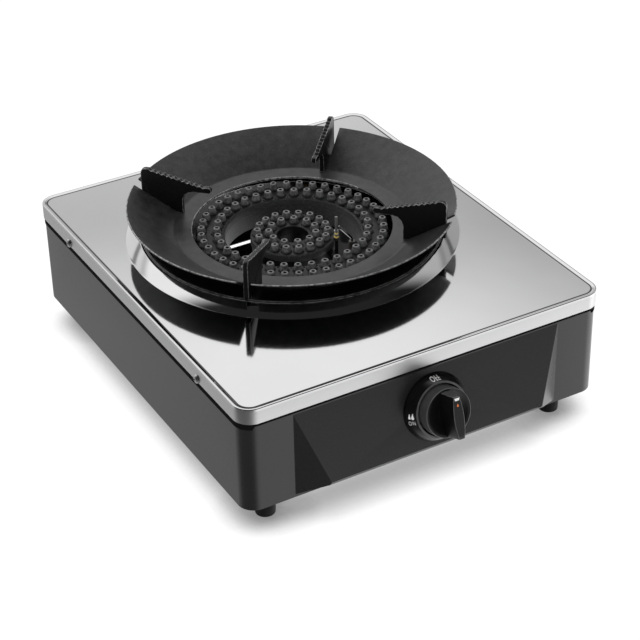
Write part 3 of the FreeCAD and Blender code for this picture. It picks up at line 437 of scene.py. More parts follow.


# %% [markdown]
# ## Polished steel
#
# The lid is bright stainless sheet. A perfect mirror looks like glass in a render, so the roughness
# carries faint wiping marks along the sheet, and a bump far too small to see bends the reflections
# as rolled sheet does. A thin dark line of painted reflection follows the crease beside the bead.
# The line is found from the distance to the lid's rounded outline.

# %% Polished steel finish
LID_WIDTH = 310.0
LID_DEPTH = 360.0
LID_CORNER = 14.0
LID_TOP = 111.5
SKIRT_BLEND = 2.0
CREASE_INSET = 4.0
CREASE_HALF = 0.7
CREASE_SOFT = 0.15
polished_steel = Finish("polished_steel", Metallic=1.0)
wiping = polished_steel.grain(1.2, 3.0, polished_steel.stretched((0.05, 1.0, 1.0)))
haze = polished_steel.grain(60, 2.0)
rise = polished_steel.part(polished_steel.place, "Z")
skirt = 1 - polished_steel.step(rise, (LID_TOP - SKIRT_BLEND) * MM, LID_TOP * MM)
core = ((LID_WIDTH / 2 - LID_CORNER) * MM, (LID_DEPTH / 2 - LID_CORNER) * MM, 1.0)
beyond = polished_steel.vector("SUBTRACT", polished_steel.vector("ABSOLUTE", polished_steel.place), core)
past_core = polished_steel.vector("MAXIMUM", beyond, (0, 0, 0))
from_core = polished_steel.vector("LENGTH", past_core, output="Value")
crease_edges = [(LID_CORNER - CREASE_INSET + half + soft) * MM
                for half in (-CREASE_HALF, CREASE_HALF) for soft in (-CREASE_SOFT, CREASE_SOFT)]
# Painted reflection: a thin dark line of colour along the crease beside the bead.
painted_crease_line = polished_steel.band(from_core, *crease_edges)
bright = polished_steel.mix(haze, grey(0.60, 0.605), grey(0.65, 0.655))
polished_steel.set(Base_Color=polished_steel.mix(painted_crease_line * 0.95, bright, grey(0.05)),
                   Roughness=0.05 + wiping * 0.03 + haze * 0.02 + skirt * 0.30)
polished_steel.relief(polished_steel.grain(45, 1.0), 0.02)
print("polished steel takes", len(polished_steel.tree.nodes), "nodes")

# %% [markdown]
# ## Lid
#
# The lid is one pressed sheet: a flat plate with a raised bead along its edge, a skirt folded down
# all round, and a swelling crown round the burner that keeps spills out, with a dish inside it. It
# could be cut by booleans, but a pressing is easier as one skin that gets its thickness last. A
# plane has its corners bevelled, is extruded to the skirt's height and inset in small steps over the
# bead. A circle is filled into the flat, and its edge is extruded inwards over the crown and down.
# A narrow flat land is left beside each fold, so that the large flat keeps an even reflection.

# %% Lid sheet and bead
SKIRT_BOTTOM = 99.5
LID_SHEET = 0.8
BEAD_RISE = 0.7
BEAD_ROUND = 0.6
BEAD_FLAT = 0.8
BEAD_FALL = 2.4
LAND = 1.5
ROUND_STEPS = 5


def rounded_sheet(name, width, depth, height, corner, segments):
    """A flat sheet with round corners."""
    rest()
    bpy.ops.mesh.primitive_plane_add(size=MM, location=(0, 0, height * MM))
    piece = named(name)
    piece.scale = (width, depth, 1)
    settle()
    pick(piece, "VERT", anywhere)
    bpy.ops.mesh.bevel(offset=corner * MM, offset_type="OFFSET", segments=segments, affect="VERTICES")
    return piece


lid = rounded_sheet("lid", LID_WIDTH, LID_DEPTH, SKIRT_BOTTOM, LID_CORNER, 16)
pick(lid, "FACE", anywhere)
wall = LID_TOP + BEAD_RISE - BEAD_ROUND - SKIRT_BOTTOM
bpy.ops.mesh.extrude_region_move(TRANSFORM_OT_translate={"value": (0, 0, wall * MM)})
turns = [math.radians(90 * k / ROUND_STEPS) for k in range(ROUND_STEPS + 1)]
over_bead = [(BEAD_ROUND * (math.cos(a) - math.cos(b)), BEAD_ROUND * (math.sin(b) - math.sin(a)))
             for a, b in zip(turns, turns[1:])]
over_bead.append((BEAD_FLAT, 0.0))
over_bead += [(BEAD_FALL / ROUND_STEPS, BEAD_RISE / 2 * (math.cos(2 * b) - math.cos(2 * a)))
              for a, b in zip(turns, turns[1:])]
over_bead.append((LAND, 0.0))
for across, up in over_bead:
    bpy.ops.mesh.inset(thickness=across * MM, depth=up * MM, use_even_offset=True)
bpy.ops.mesh.delete(type="ONLY_FACE")
print("the bead is laid in", len(over_bead), "steps")

# %% Crown and dish
CROWN_OUTER = 133.0
CROWN_INNER = 121.8
CROWN_TOP = 118.3
CROWN_SWELL = 0.25
CROWN_STEPS = 10
DISH_FLOOR = 106.0
OPENING_RADIUS = 93.0


def from_burner(place):
    return math.hypot(place.x, place.y - BURNER_Y)


bpy.ops.mesh.primitive_circle_add(vertices=192, radius=(CROWN_OUTER + LAND) * MM,
                                  location=(0, BURNER_Y * MM, LID_TOP * MM))
bpy.ops.mesh.select_mode(type="EDGE")
bpy.ops.mesh.select_non_manifold(extend=True, use_wire=True, use_boundary=True, use_multi_face=False,
                                 use_non_contiguous=False, use_verts=False)
bpy.ops.mesh.fill(use_beauty=True)

foot = Vector((CROWN_OUTER, LID_TOP))
flank = Vector((CROWN_INNER - CROWN_OUTER, CROWN_TOP - LID_TOP))
swell = Vector((flank.y, -flank.x)).normalized() * CROWN_SWELL
crown = [(CROWN_OUTER + LAND, LID_TOP, 0), (CROWN_OUTER, LID_TOP, 0.3)]
for k in range(1, CROWN_STEPS):
    t = k / CROWN_STEPS
    crown.append((*(foot + flank * t + swell * 4 * t * (1 - t)), 0))
crown += [(CROWN_INNER, CROWN_TOP, 0.5), (CROWN_INNER, DISH_FLOOR, 0.8), (OPENING_RADIUS, DISH_FLOOR, 0)]

pick(lid, "EDGE", lambda place: abs(from_burner(place) - CROWN_OUTER - LAND) < 0.01)
before = Vector((CROWN_OUTER + LAND, LID_TOP))
for point in soften(crown)[1:]:
    bpy.ops.mesh.extrude_edges_move(TRANSFORM_OT_translate={"value": (0, 0, (point.y - before.y) * MM)})
    shrink = point.x / before.x
    bpy.ops.transform.resize(value=(shrink, shrink, 1), center_override=(0, BURNER_Y * MM, point.y * MM))
    before = point
pick(lid, "FACE", lambda place, normal: place.z < SKIRT_BOTTOM + 0.01 and abs(normal.z) > 0.9)
bpy.ops.mesh.delete(type="FACE")
clean(lid)
if sum(face.normal.z * face.area for face in lid.data.polygons) < 0:
    pick(lid, "FACE", anywhere)
    bpy.ops.mesh.flip_normals()
modify(lid, "SOLIDIFY", thickness=LID_SHEET * MM, offset=-1.0, use_even_offset=True)
smooth(lid, 25)
fit(lid, "stove", "polished_steel", polished_steel, "top_plate")

# %% [markdown]
# ## Black coatings
#
# Three blacks sit side by side and must not look alike. The casing is powder coated: satin, with a
# fine even orange peel. The shield and the prongs are enamelled and baked, which leaves a duller
# skin with pale specks, and their edges are painted lighter as painted highlights. The burner is
# cast iron: its deck is darkened with painted shade, and the nozzles that stand up from it are
# lightened with painted light over a sandy skin.

# %% Powder coat and enamel
black_paint = Finish("black_paint", IOR=1.52)
peel = black_paint.grain(0.9, 3.0)
cloud = black_paint.grain(90, 2.0)
black_paint.set(Base_Color=black_paint.mix(cloud, grey(0.011, 0.012), grey(0.015, 0.0162)),
                Roughness=0.22 + peel * 0.08)
black_paint.relief(peel, 0.02, 0.5)

# A lighter paint for the panel's lower lip: a painted highlight.
lip_highlight_paint = grained("lip_highlight_paint", 5, 3.0, grey(0.07, 0.071), grey(0.13, 0.132), 0.25, 0.15,
                       Coat_Weight=0.4)

black_enamel = Finish("black_enamel")
sand = black_enamel.grain(1.0, 4.0)
speck = black_enamel.step(black_enamel.grain(0.9, 1.0), 0.62, 0.72)
bake = black_enamel.step(black_enamel.grain(7, 4.0), 0.3, 0.7)
dark_skin = black_enamel.mix(bake, grey(0.014, 0.0145), grey(0.028, 0.0285))
black_enamel.set(Base_Color=black_enamel.mix(speck * 0.6, dark_skin, grey(0.075)),
                 Roughness=0.24 + sand * 0.18)
black_enamel.relief(sand, 0.13, 0.4)

prong_enamel = Finish("prong_enamel")
drips = prong_enamel.grain(1.6, 4.0)
# Painted highlight: sharp edges are lightened towards steel, broken up by a grain.
edge_highlight = prong_enamel.sharp_edge(0.7) * prong_enamel.step(prong_enamel.grain(3, 4.0), 0.3, 0.55)
glass_black = prong_enamel.mix(drips, grey(0.004, 0.0042), grey(0.010, 0.0103))
prong_enamel.set(Base_Color=prong_enamel.mix(edge_highlight * 0.8, glass_black, grey(0.42)),
                 Roughness=0.28 + drips * 0.16)
prong_enamel.relief(drips, 0.08, 0.4)

# A lighter steel for edges, laid on as painted highlights.
highlight_steel = Finish("highlight_steel", Metallic=0.6)
steel_mottle = highlight_steel.grain(2.5, 4.0)
highlight_steel.set(Base_Color=highlight_steel.mix(highlight_steel.step(steel_mottle, 0.35, 0.6), grey(0.10), grey(0.46)),
               Roughness=0.3 + steel_mottle * 0.2)
print("finishes so far:", len(bpy.data.materials))

# %% Cast iron


def casting(name, deck, tip, wall):
    """Cast iron: painted shade up to its deck, painted light above it and on one round wall and its tips."""
    iron = Finish(name, Specular_IOR_Level=0.35)
    skin = iron.grain(0.9, 5.0)
    pits = iron.grain(3, 3.0)
    rise = iron.part(iron.place, "Z")
    # Painted light and shade: the iron is lighter above the deck and darker on it, as light falls.
    lit_above_deck = iron.step(rise, (deck + 0.3) * MM, (deck + 2.4) * MM)
    flecks = iron.step(iron.grain(0.8, 1.0), 0.60, 0.70)
    deck_shade = iron.mix(pits, grey(0.002, 0.0022), grey(0.009, 0.0095))
    lit_iron = iron.mix(iron.step(pits, 0.3, 0.7), grey(0.036, 0.037), grey(0.150, 0.153))
    lit_wall_sand = iron.mix(skin, grey(0.020, 0.021), grey(0.050, 0.052))
    axis = (0, BURNER_Y * MM, 0)
    from_axis = iron.vector("DISTANCE", iron.stretched((1, 1, 0)), axis, output="Value")
    # The round wall is lifted out of the deck's painted shade into a lighter grain: painted light.
    face = iron.band(from_axis, *((wall + shift) * MM for shift in (-0.9, -0.4, 0.3, 0.6)))
    cast_tone = iron.mix(lit_above_deck, iron.mix(face, deck_shade, lit_wall_sand), lit_iron)
    # Painted highlight: the nozzle tips are lighter.
    tip_highlight = iron.step(rise, (tip - 0.9) * MM, (tip - 0.2) * MM) * pits
    tip_lit_tone = iron.mix(tip_highlight, cast_tone, grey(0.23, 0.234))
    # The random flecks show more where the painted light is.
    lit_flecks = flecks * (lit_above_deck * 0.5 + face * 0.3 + 0.05)
    iron.set(Base_Color=iron.mix(lit_flecks, tip_lit_tone, grey(0.24, 0.245)), Roughness=0.30 + skin * 0.22)
    return iron.relief(skin + pits * 0.6, 0.14, 0.3)


OUTER_DECK = 110.5
OUTER_RISE = 5.9
INNER_DECK = 108.0
INNER_RISE = 5.3
OUTER_WALL = 54.5
INNER_WALL = 34.0
NEVER_LIT = 200.0
outer_iron = casting("outer_iron", OUTER_DECK, OUTER_DECK + OUTER_RISE, OUTER_WALL)
inner_iron = casting("inner_iron", INNER_DECK, INNER_DECK + INNER_RISE, INNER_WALL)
# All painted shade: the nozzle mouths and the burner body.
shaded_iron = casting("shaded_iron", NEVER_LIT, NEVER_LIT, OUTER_WALL)
print("finishes so far:", len(bpy.data.materials))

# %% [markdown]
# ## Casing and base ring
#
# The casing is a folded sheet box whose front swells out into the control panel, and the base ring
# is a pressed hoop with a slot for each prong. Their forms are already right in the CAD frame, with
# every screw hole, so the quickest way is to copy the solid, melt its triangles back into
# flats, and round the folds that a sheet press can't leave sharp. The panel's top edge is drawn up
# under the lid's skirt, and its lower lip is rounded and painted lighter as a painted highlight.

# %% Casing and base ring


def recast(node, name, degrees):
    """A copy of a CAD node with its triangles melted together and its folds kept crisp."""
    take(nodes[node])
    bpy.ops.object.duplicate()
    piece = named(name)
    piece.parent = None
    del piece["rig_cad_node"]
    piece.data.materials.clear()
    bpy.ops.mesh.customdata_custom_splitnormals_clear()
    pick(piece, "VERT", anywhere)
    bpy.ops.mesh.remove_doubles(threshold=MM / 1000)
    bpy.ops.mesh.dissolve_limited(angle_limit=math.radians(0.5))
    bpy.ops.mesh.normals_make_consistent(inside=False)
    smooth(piece, degrees)
    return piece


LIP_ROUND = 1.6
LIP_HEIGHT = 36.0
LIP_FRONT = -194.5
PANEL_TOP = 92.0
PANEL_RISE = 4.0
PANEL_FRONT = -177.0
PANEL_HALF = 116.0
casing = recast("body_shell", "casing", 12)
dress(casing, black_paint, lip_highlight_paint)
pick(casing, "VERT", lambda place: abs(place.z - PANEL_TOP) < 1.2 and place.y < PANEL_FRONT
     and abs(place.x) < PANEL_HALF)
bpy.ops.transform.translate(value=(0, 0, PANEL_RISE * MM))
# The lower lip is bevelled into the lighter paint as a painted highlight.
pick(casing, "EDGE", lambda place: abs(place.z - LIP_HEIGHT) < 0.05 and place.y < LIP_FRONT + 0.1)
bpy.ops.mesh.bevel(offset=LIP_ROUND * MM, offset_type="OFFSET", segments=3, affect="EDGES", material=1)
smooth(casing, 12)
fit(casing, "stove", "black_paint", black_paint, "body_shell")
# The base ring takes the prong enamel, with its painted edge highlights.
stand_ring = recast("base_ring", "stand_ring", 20)
fit(stand_ring, "base_ring", "black_enamel", prong_enamel, "base_ring")

# %% [markdown]
# A dark strip of painted shade shows as a thin line between the lid's skirt and the casing. It is a
# flat strip that follows the casing's corners: a plane is bevelled at its corners, its face is
# removed and the edge that is left is extruded up to the skirt and given a wall.

# %% Shadow strip under the lid
STRIP_LOW = 94.3
STRIP_WALL = 0.5
STRIP_FRONT_LIFT = 2.9
# A near black that mirrors almost nothing, for the painted shade under the skirt.
shadow_black = Finish("shadow_black", Specular_IOR_Level=0.05)
strip_grain = shadow_black.grain(0.6, 2.0)
shadow_black.tone(strip_grain, grey(0.003), grey(0.008), 0.85, 0.1)
shadow_black.relief(strip_grain, 0.05)

casing_low, casing_high = (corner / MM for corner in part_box("body_shell"))
strip_width = casing_high.x - casing_low.x
shadow_strip = rounded_sheet("lid_shadow_strip", strip_width, casing_high.y * 2, STRIP_LOW, LID_CORNER - 1, 12)
pick(shadow_strip, "FACE", anywhere)
bpy.ops.mesh.delete(type="ONLY_FACE")
pick(shadow_strip, "EDGE", anywhere)
bpy.ops.mesh.extrude_edges_move(TRANSFORM_OT_translate={"value": (0, 0, (SKIRT_BOTTOM - STRIP_LOW) * MM)})
pick(shadow_strip, "VERT", lambda place: place.z < STRIP_LOW + 0.01 and place.y < 0.5 - casing_high.y)
bpy.ops.transform.translate(value=(0, 0, STRIP_FRONT_LIFT * MM))
clean(shadow_strip)
modify(shadow_strip, "SOLIDIFY", thickness=STRIP_WALL * MM, offset=1.0, use_even_offset=True)
round_edges(shadow_strip, 0.12, 2)
smooth(shadow_strip)
fit(shadow_strip, "stove", "foot_rubber", shadow_black)

# %% [markdown]
# ## Wok shield
#
# The shield is a dished steel ring that keeps the flame under the wok. A spun outline with a rounded
# rim is the natural way to make it. Four slots let the prongs through; they are cut with a boolean,
# because a spin can't leave a gap with straight sides, and the cut edges are then broken.

# %% Wok shield
SHIELD_FLOOR = 117.0
SHIELD_TOP = 140.2
SHIELD_HOLE = 80.0
SHIELD_CREASE = 94.5
SHIELD_RIM = 131.0
SHIELD_DROP = 1.9
NOTCH_ROOT = 5.2
NOTCH_RIM = 12.0
NOTCH_OUTER = SHIELD_RIM + 4
NOTCH_LOW = 100.0
NOTCH_HIGH = 160.0
HIGHLIGHT_BACK = BURNER_Y + 25
PRONG_ANGLES = {"front_left": 225, "front_right": 315, "back_left": 135, "back_right": 45}


def gets_highlight(place, normal):
    """The back of the hole's edge and the top of the rim, which get a painted highlight."""
    at_hole = from_burner(place) < SHIELD_HOLE + 0.5 and place.y > HIGHLIGHT_BACK
    at_rim = from_burner(place) > SHIELD_RIM - 0.9 and place.z > SHIELD_TOP - 1.2
    return at_hole or at_rim


shield = lathe("shield", soften([
    (SHIELD_HOLE, SHIELD_FLOOR, 0.6), (SHIELD_CREASE, SHIELD_FLOOR, 5.0), (SHIELD_RIM, SHIELD_TOP, 0.7),
    (SHIELD_RIM, SHIELD_TOP - SHIELD_DROP, 0.7), (SHIELD_CREASE, SHIELD_FLOOR - SHIELD_DROP, 5.0),
    (SHIELD_HOLE, SHIELD_FLOOR - SHIELD_DROP, 0.6)]), 160)
for angle in PRONG_ANGLES.values():
    cutter = slab("cutter", [(SHIELD_CREASE, NOTCH_LOW), (NOTCH_OUTER, NOTCH_LOW), (NOTCH_OUTER, NOTCH_HIGH),
                             (SHIELD_CREASE, NOTCH_HIGH)], NOTCH_RIM)
    pick(cutter, "VERT", lambda place: place.x < SHIELD_CREASE + 1)
    bpy.ops.transform.resize(value=(1, NOTCH_ROOT / NOTCH_RIM, 1), center_override=(0, 0, 0))
    rest()
    set_place(cutter, (0, BURNER_Y * MM, 0), (0, 0, math.radians(angle)))
    combine(shield, cutter)
dress(shield, black_enamel, highlight_steel)
# The shield's broken edges and the faces picked below take the lighter steel as painted highlights.
round_edges(shield, 0.4, 2, 50, 1)
finish_faces(shield, 1, gets_highlight)
smooth(shield)
fit(shield, "pan_support", "black_enamel", black_enamel, "wok_shield")

# %% [markdown]
# ## Pan prongs
#
# Each prong is a thick plate on edge: a long toothed arm for the pan, a foot on the shield and a tab
# that drops into a slot of the base ring. One is drawn as an outline, filled and extruded, its
# edges broken, and then copied to the four corners.

# %% Pan prongs
PRONG_SHEET = 4.0
PRONG_OUTER = 125.5
PRONG_CORNER = 7.0
SHOULDER = 121.5
TAB_OUTER = 118.6
TAB_INNER = 112.6
PRONG_TOP = 153.5
TIP_RADIUS = 66.5
TIP_TOP = 142.0
TIP_HEIGHT = 5.0
FOOT_INNER = 91.0
LEG_FOOT = 113.5
TOOTH_COUNT = 11
TOOTH_DEPTH = 1.3

corner = PRONG_OUTER - PRONG_CORNER
tooth_start = TIP_RADIUS + TIP_HEIGHT
tooth_run = (corner - tooth_start) / TOOTH_COUNT
tooth_rise = (PRONG_TOP - TIP_TOP) / TOOTH_COUNT
outline = [(FOOT_INNER, SHIELD_FLOOR, 0), (FOOT_INNER, TIP_TOP - TIP_HEIGHT, 9.0),
           (TIP_RADIUS, TIP_TOP - TIP_HEIGHT, 2.2), (TIP_RADIUS, TIP_TOP, 2.2)]
for k in range(TOOTH_COUNT):
    outline.append((tooth_start + tooth_run * k, TIP_TOP + tooth_rise * k, 0.55))
    outline.append((tooth_start + tooth_run * (k + 0.5), TIP_TOP + tooth_rise * (k + 0.5) - TOOTH_DEPTH, 0.4))
outline += [(corner, PRONG_TOP, 1.0), (PRONG_OUTER, PRONG_TOP, 4.0), (PRONG_OUTER, SHOULDER, 0.8),
            (TAB_OUTER, SHOULDER, 0.5), (TAB_OUTER, LEG_FOOT, 0.8), (TAB_INNER, LEG_FOOT, 0.8),
            (TAB_INNER, SHIELD_FLOOR + 1.8, 1.0), (SHIELD_CREASE + 0.3, SHIELD_FLOOR, 0)]
first_prong = slab("prong", soften(outline, 3), PRONG_SHEET)
dress(first_prong, prong_enamel, highlight_steel)
# The prong's broken edges take the lighter steel as painted highlights.
round_edges(first_prong, 0.6, 2, 60, 1)
smooth(first_prong, 40)
for place, angle in PRONG_ANGLES.items():
    prong = copy_of(first_prong, "pan_prong_" + place)
    set_place(prong, (0, BURNER_Y * MM, 0), (0, 0, math.radians(angle)))
    fit(prong, "pan_support", "black_enamel", prong_enamel, "prong_" + place)
bpy.data.objects.remove(first_prong)

# %% [markdown]
# ## Burner rings
#
# The two burner rings are castings with rows of stubby nozzles, each with a drilled mouth. The deck
# is a spun ring. One nozzle is spun with a flared foot and a rounded lip, and copies of it are set
# round the rows. A foundry never makes two alike, so each copy is turned and leans a little, with a
# seeded draw so that every run gives the same burner.

# %% Nozzles and ports
DECK_ROUND = 1.3
CAST_DECK = 6.0
PORT_RADIUS = 0.8
DRILL_LENGTH = 6.0
MOUTH_SHADE_WITHIN = 1.32
draw_of = random.Random(11)


def nozzle(name, rise, iron):
    """One nozzle standing on z = 0, with its foot sunk under the deck and painted shade down its mouth."""
    outline = soften([(0, -1.2, 0), (4.9, -1.2, 0), (4.5, 0.2, 0.8), (3.5, 1.3, 1.2), (2.85, rise, 0.75),
                      (1.4, rise, 0.3), (1.25, rise - 3.2, 0), (0, rise - 3.2, 0)], 2)
    piece = lathe(name, outline, 14, 0.0, closed=False)
    dress(piece, iron, shaded_iron)
    # The mouth's faces take the shaded iron as painted shade.
    finish_faces(piece, 1, lambda place, normal: math.hypot(place.x, place.y) < MOUTH_SHADE_WITHIN and place.z > 0)
    smooth(piece, 50)
    return piece


def on_deck(radius, count, phase, deck):
    """Places set evenly round the burner's axis."""
    for k in range(count):
        angle = math.tau * (k + phase) / count
        yield Vector((radius * math.cos(angle), BURNER_Y + radius * math.sin(angle), deck)) * MM


def drill_ports(ring, row, deck):
    """A row of small round ports sunk into the deck."""
    drills = []
    for spot in on_deck(*row, deck):
        rest()
        bpy.ops.mesh.primitive_cylinder_add(vertices=10, radius=PORT_RADIUS * MM, depth=DRILL_LENGTH * MM)
        set_place(named("drill"), spot)
        drills.append(bpy.context.object)
    combine(ring, join(drills))


# %% Burner rings


def burner_ring(name, iron, inner, outer, deck, rows, rise, ports=None):
    """A deck with rows of nozzles as (radius, count, phase), and a row of ports where one is named."""
    base = deck - CAST_DECK
    ring = lathe(name, soften([(inner, base, 0), (outer, base, 0.4), (outer, deck, DECK_ROUND),
                               (inner, deck, DECK_ROUND)]), 144)
    if ports:
        drill_ports(ring, ports, deck)
    dress(ring, iron)
    smooth(ring)
    stub = nozzle("stub", rise, iron)
    pieces = [ring]
    for row in rows:
        for spot in on_deck(*row, deck):
            lean = [math.radians(draw_of.uniform(-2.0, 2.0)) for _ in range(2)]
            one = copy_of(stub, "nozzle")
            one.scale = (1, 1, draw_of.uniform(0.96, 1.03))
            set_place(one, spot, (lean[0], lean[1], draw_of.uniform(0, math.tau)))
            pieces.append(one)
    bpy.data.objects.remove(stub)
    return join(pieces)


outer_ring = burner_ring("outer_ring", outer_iron, OUTER_WALL, 77.0, OUTER_DECK,
                         ((73.0, 42, -0.46), (60.6, 35, -0.2)), OUTER_RISE, (57.0, 35, 0.3))
fit(outer_ring, "outer_head", "cast_iron", outer_iron, "outer_burner_head")
inner_ring = burner_ring("inner_ring", inner_iron, 12.4, INNER_WALL, INNER_DECK,
                         ((28.2, 18, -0.46), (19.0, 11, -0.25)), INNER_RISE)
fit(inner_ring, "inner_head", "cast_iron", inner_iron, "inner_burner_head")

# %% [markdown]
# ## Dial
#
# The dial is a glossy cone-shaped collar round a satin knob with a bar grip. All of it is turned
# about the knob's own axis, so it is modelled standing upright at the origin, where lathe work is
# easy, and is leaned back onto the panel at the end. Its sides and edges get lighter, glossier
# finishes of their own: painted light on the sides and painted highlights on the edges.

# %% Plastic and print finishes
gloss_black = Finish("gloss_black", Coat_Roughness=0.08)
dust = gloss_black.grain(14, 3.0)
gloss_black.tone(dust, grey(0.003, 0.0033), grey(0.006, 0.0064), 0.16, 0.10)
gloss_black.set(Coat_Weight=0.35 - dust * 0.15)
gloss_black.relief(gloss_black.grain(1.5, 2.0), 0.004)

satin_black = Finish("satin_black")
texture = satin_black.grain(0.35, 2.0)
wear = satin_black.grain(9, 3.0)
satin_black.set(Base_Color=satin_black.mix(wear, grey(0.003, 0.0032), grey(0.006, 0.0062)),
                Roughness=0.30 + texture * 0.12)
satin_black.relief(texture, 0.012)

# Lighter blacks: painted light for the knob's sides, painted highlights for the dial's edges.
lit_black = grained("lit_black", 6, 3.0, grey(0.040, 0.0408), grey(0.070, 0.0714), 0.26, 0.12,
                        Coat_Weight=0.9, Coat_Roughness=0.2)
highlight_plastic = grained("highlight_plastic", 4, 3.0, grey(0.04, 0.041), grey(0.14, 0.143), 0.2, 0.2,
                        Coat_Weight=0.6)
white_print = grained("white_print", 0.4, 2.0, grey(0.88, 0.87), grey(0.96, 0.95), 0.4, 0.2)
orange_print = grained("orange_print", 0.4, 2.0, (0.78, 0.16, 0.03, 1), (0.92, 0.26, 0.06, 1), 0.4, 0.2)
print("finishes so far:", len(bpy.data.materials))

# %% Bezel
PANEL_FORWARD = 15.5
PANEL_FALL = 56.0
PANEL_BACK = -179.0
DIAL_DROP = 27.0
LEAN = math.atan2(PANEL_FORWARD, PANEL_FALL)
UP_PANEL = Vector((0, math.sin(LEAN), math.cos(LEAN)))
DIAL_CENTRE = Vector((0, PANEL_BACK, PANEL_TOP)) - UP_PANEL * DIAL_DROP
ON_PANEL = (DIAL_CENTRE * MM, (math.pi / 2 - LEAN, 0, 0))
BEZEL_FOOT = 26.5
BEZEL_SKIRT = 1.6
BEZEL_LIP = 21.7
BEZEL_HEIGHT = 10.0
WELL = 19.9
bezel = lathe("bezel", soften([
    (24.5, 0, 0), (BEZEL_FOOT, 0, 0.3), (BEZEL_FOOT, BEZEL_SKIRT, 0.9), (BEZEL_LIP, BEZEL_HEIGHT, 0.25),
    (WELL, BEZEL_HEIGHT, 0.25), (WELL, 3.5, 0.6), (4.7, 3.5, 0), (4.7, 2.5, 0), (24.5, 2.5, 0)]), 96, 0.0)
dress(bezel, gloss_black, highlight_plastic)
# The collar's inner lip takes the lighter finish as a painted highlight.
finish_faces(bezel, 1, lambda place, normal: place.z > BEZEL_HEIGHT - 0.3
             and place.xy.length > BEZEL_LIP - 0.9)
smooth(bezel)
print("collar is", BEZEL_FOOT * 2, "mm wide")

# %% Knob and grip
KNOB_BACK = 8.0
KNOB_FACE = 19.5
KNOB_RIM = 18.0
KNOB_EDGE = KNOB_FACE - 0.6
GRIP_FRONT = 33.7
GRIP_ROOT = 13.0
GRIP_LENGTH = 34.6
GRIP_WIDTH = 11.0
ROOT_WIDTH = 10.0
END_WIDTH = 4.8
FRONT_SWELL = 3.6
GRIP_TAPER = 0.045
STATIONS = 11


def is_lit_face(place, normal):
    """The knob's side wall, and the faces of the grip that look up and down the panel."""
    return place.z < KNOB_EDGE if place.xy.length > KNOB_RIM else abs(normal.y) > 0.5


knob = lathe("knob", soften([
    (0, KNOB_BACK, 0), (19.2, KNOB_BACK, 0.5), (18.9, KNOB_FACE, 0.4), (16.4, KNOB_FACE - 0.4, 0.8),
    (8.0, KNOB_FACE - 3.2, 3.0), (0, KNOB_FACE - 3.4, 0)]), 96, 0.0, closed=False)
dress(knob, satin_black, highlight_plastic)
# The knob's rim takes the lighter finish as a painted highlight.
finish_faces(knob, 1, lambda place, normal: place.z > KNOB_EDGE and place.xy.length > KNOB_RIM)
bpy.ops.mesh.primitive_cube_add(size=MM)
grip = named("grip")
grip.scale = (GRIP_WIDTH, GRIP_LENGTH, GRIP_FRONT - GRIP_ROOT)
grip.location.z = (GRIP_FRONT + GRIP_ROOT) / 2 * MM
settle()
pick(grip, "FACE", anywhere)
bpy.ops.mesh.subdivide(number_cuts=STATIONS - 2)
shares = [k / (STATIONS - 1) for k in range(STATIONS)]
for along in shares:
    y = GRIP_LENGTH * (along - 0.5)
    bulge = 1 - (2 * y / GRIP_LENGTH) ** 2
    for share in shares:
        z = GRIP_ROOT + (GRIP_FRONT - GRIP_ROOT) * share
        width = (ROOT_WIDTH + bulge) * (1 - share) + (END_WIDTH + FRONT_SWELL * bulge) * share
        pick(grip, "VERT", lambda place: abs(place.y - y) < 0.1 and abs(place.z - z) < 0.1)
        bpy.ops.transform.resize(value=(width / GRIP_WIDTH, 1 - GRIP_TAPER * share, 1),
                                 center_override=(0, 0, 0))
rest()
dress(grip, satin_black, highlight_plastic)
# The grip's broken edges take the lighter finish as painted highlights.
round_edges(grip, 0.4, 2, 40, 1)
combine(knob, grip, "UNION")
dress(knob, lit_black)
# The knob's side wall and the grip's upward and downward faces take the lighter black as painted light.
finish_faces(knob, 2, is_lit_face)
smooth(knob, 40)
print("grip stands", GRIP_FRONT, "mm off the panel")

# %% [markdown]
# The words and the flame on the collar follow its slope. Each is made flat, cut fine enough to bend,
# and every point is then carried from the flat onto the cone: one direction becomes an angle round
# the dial and the other a distance up the slope.

# %% Words and flame on the collar
SLOPE = math.atan2(BEZEL_FOOT - BEZEL_LIP, BEZEL_HEIGHT - BEZEL_SKIRT)
SLOPE_RADIUS = (BEZEL_FOOT + BEZEL_LIP) / 2
SLOPE_HEIGHT = (BEZEL_HEIGHT + BEZEL_SKIRT) / 2
PRINT_LIFT = 0.05
PRINT_THIN = 0.03


def onto_cone(piece, at_left):
    """Carry a flat piece, in millimetres about its middle, onto the collar's slope."""
    for vertex in piece.data.vertices:
        across, up = vertex.co.x / MM, vertex.co.y / MM
        if at_left:
            angle = math.pi - up / SLOPE_RADIUS
            climb = across
        else:
            angle = math.pi / 2 - across / SLOPE_RADIUS
            climb = up
        radius = SLOPE_RADIUS - climb * math.sin(SLOPE) + PRINT_LIFT * math.cos(SLOPE)
        height = SLOPE_HEIGHT + climb * math.cos(SLOPE) + PRINT_LIFT * math.sin(SLOPE)
        vertex.co = Vector((radius * math.cos(angle), radius * math.sin(angle), height)) * MM


def fine_print(piece, at_left):
    """Cut a flat piece fine enough to bend, and bend it."""
    pick(piece, "FACE", anywhere)
    bpy.ops.mesh.remove_doubles(threshold=MM / 1000)
    bpy.ops.mesh.quads_convert_to_tris()
    bpy.ops.mesh.subdivide(number_cuts=2)
    rest()
    onto_cone(piece, at_left)


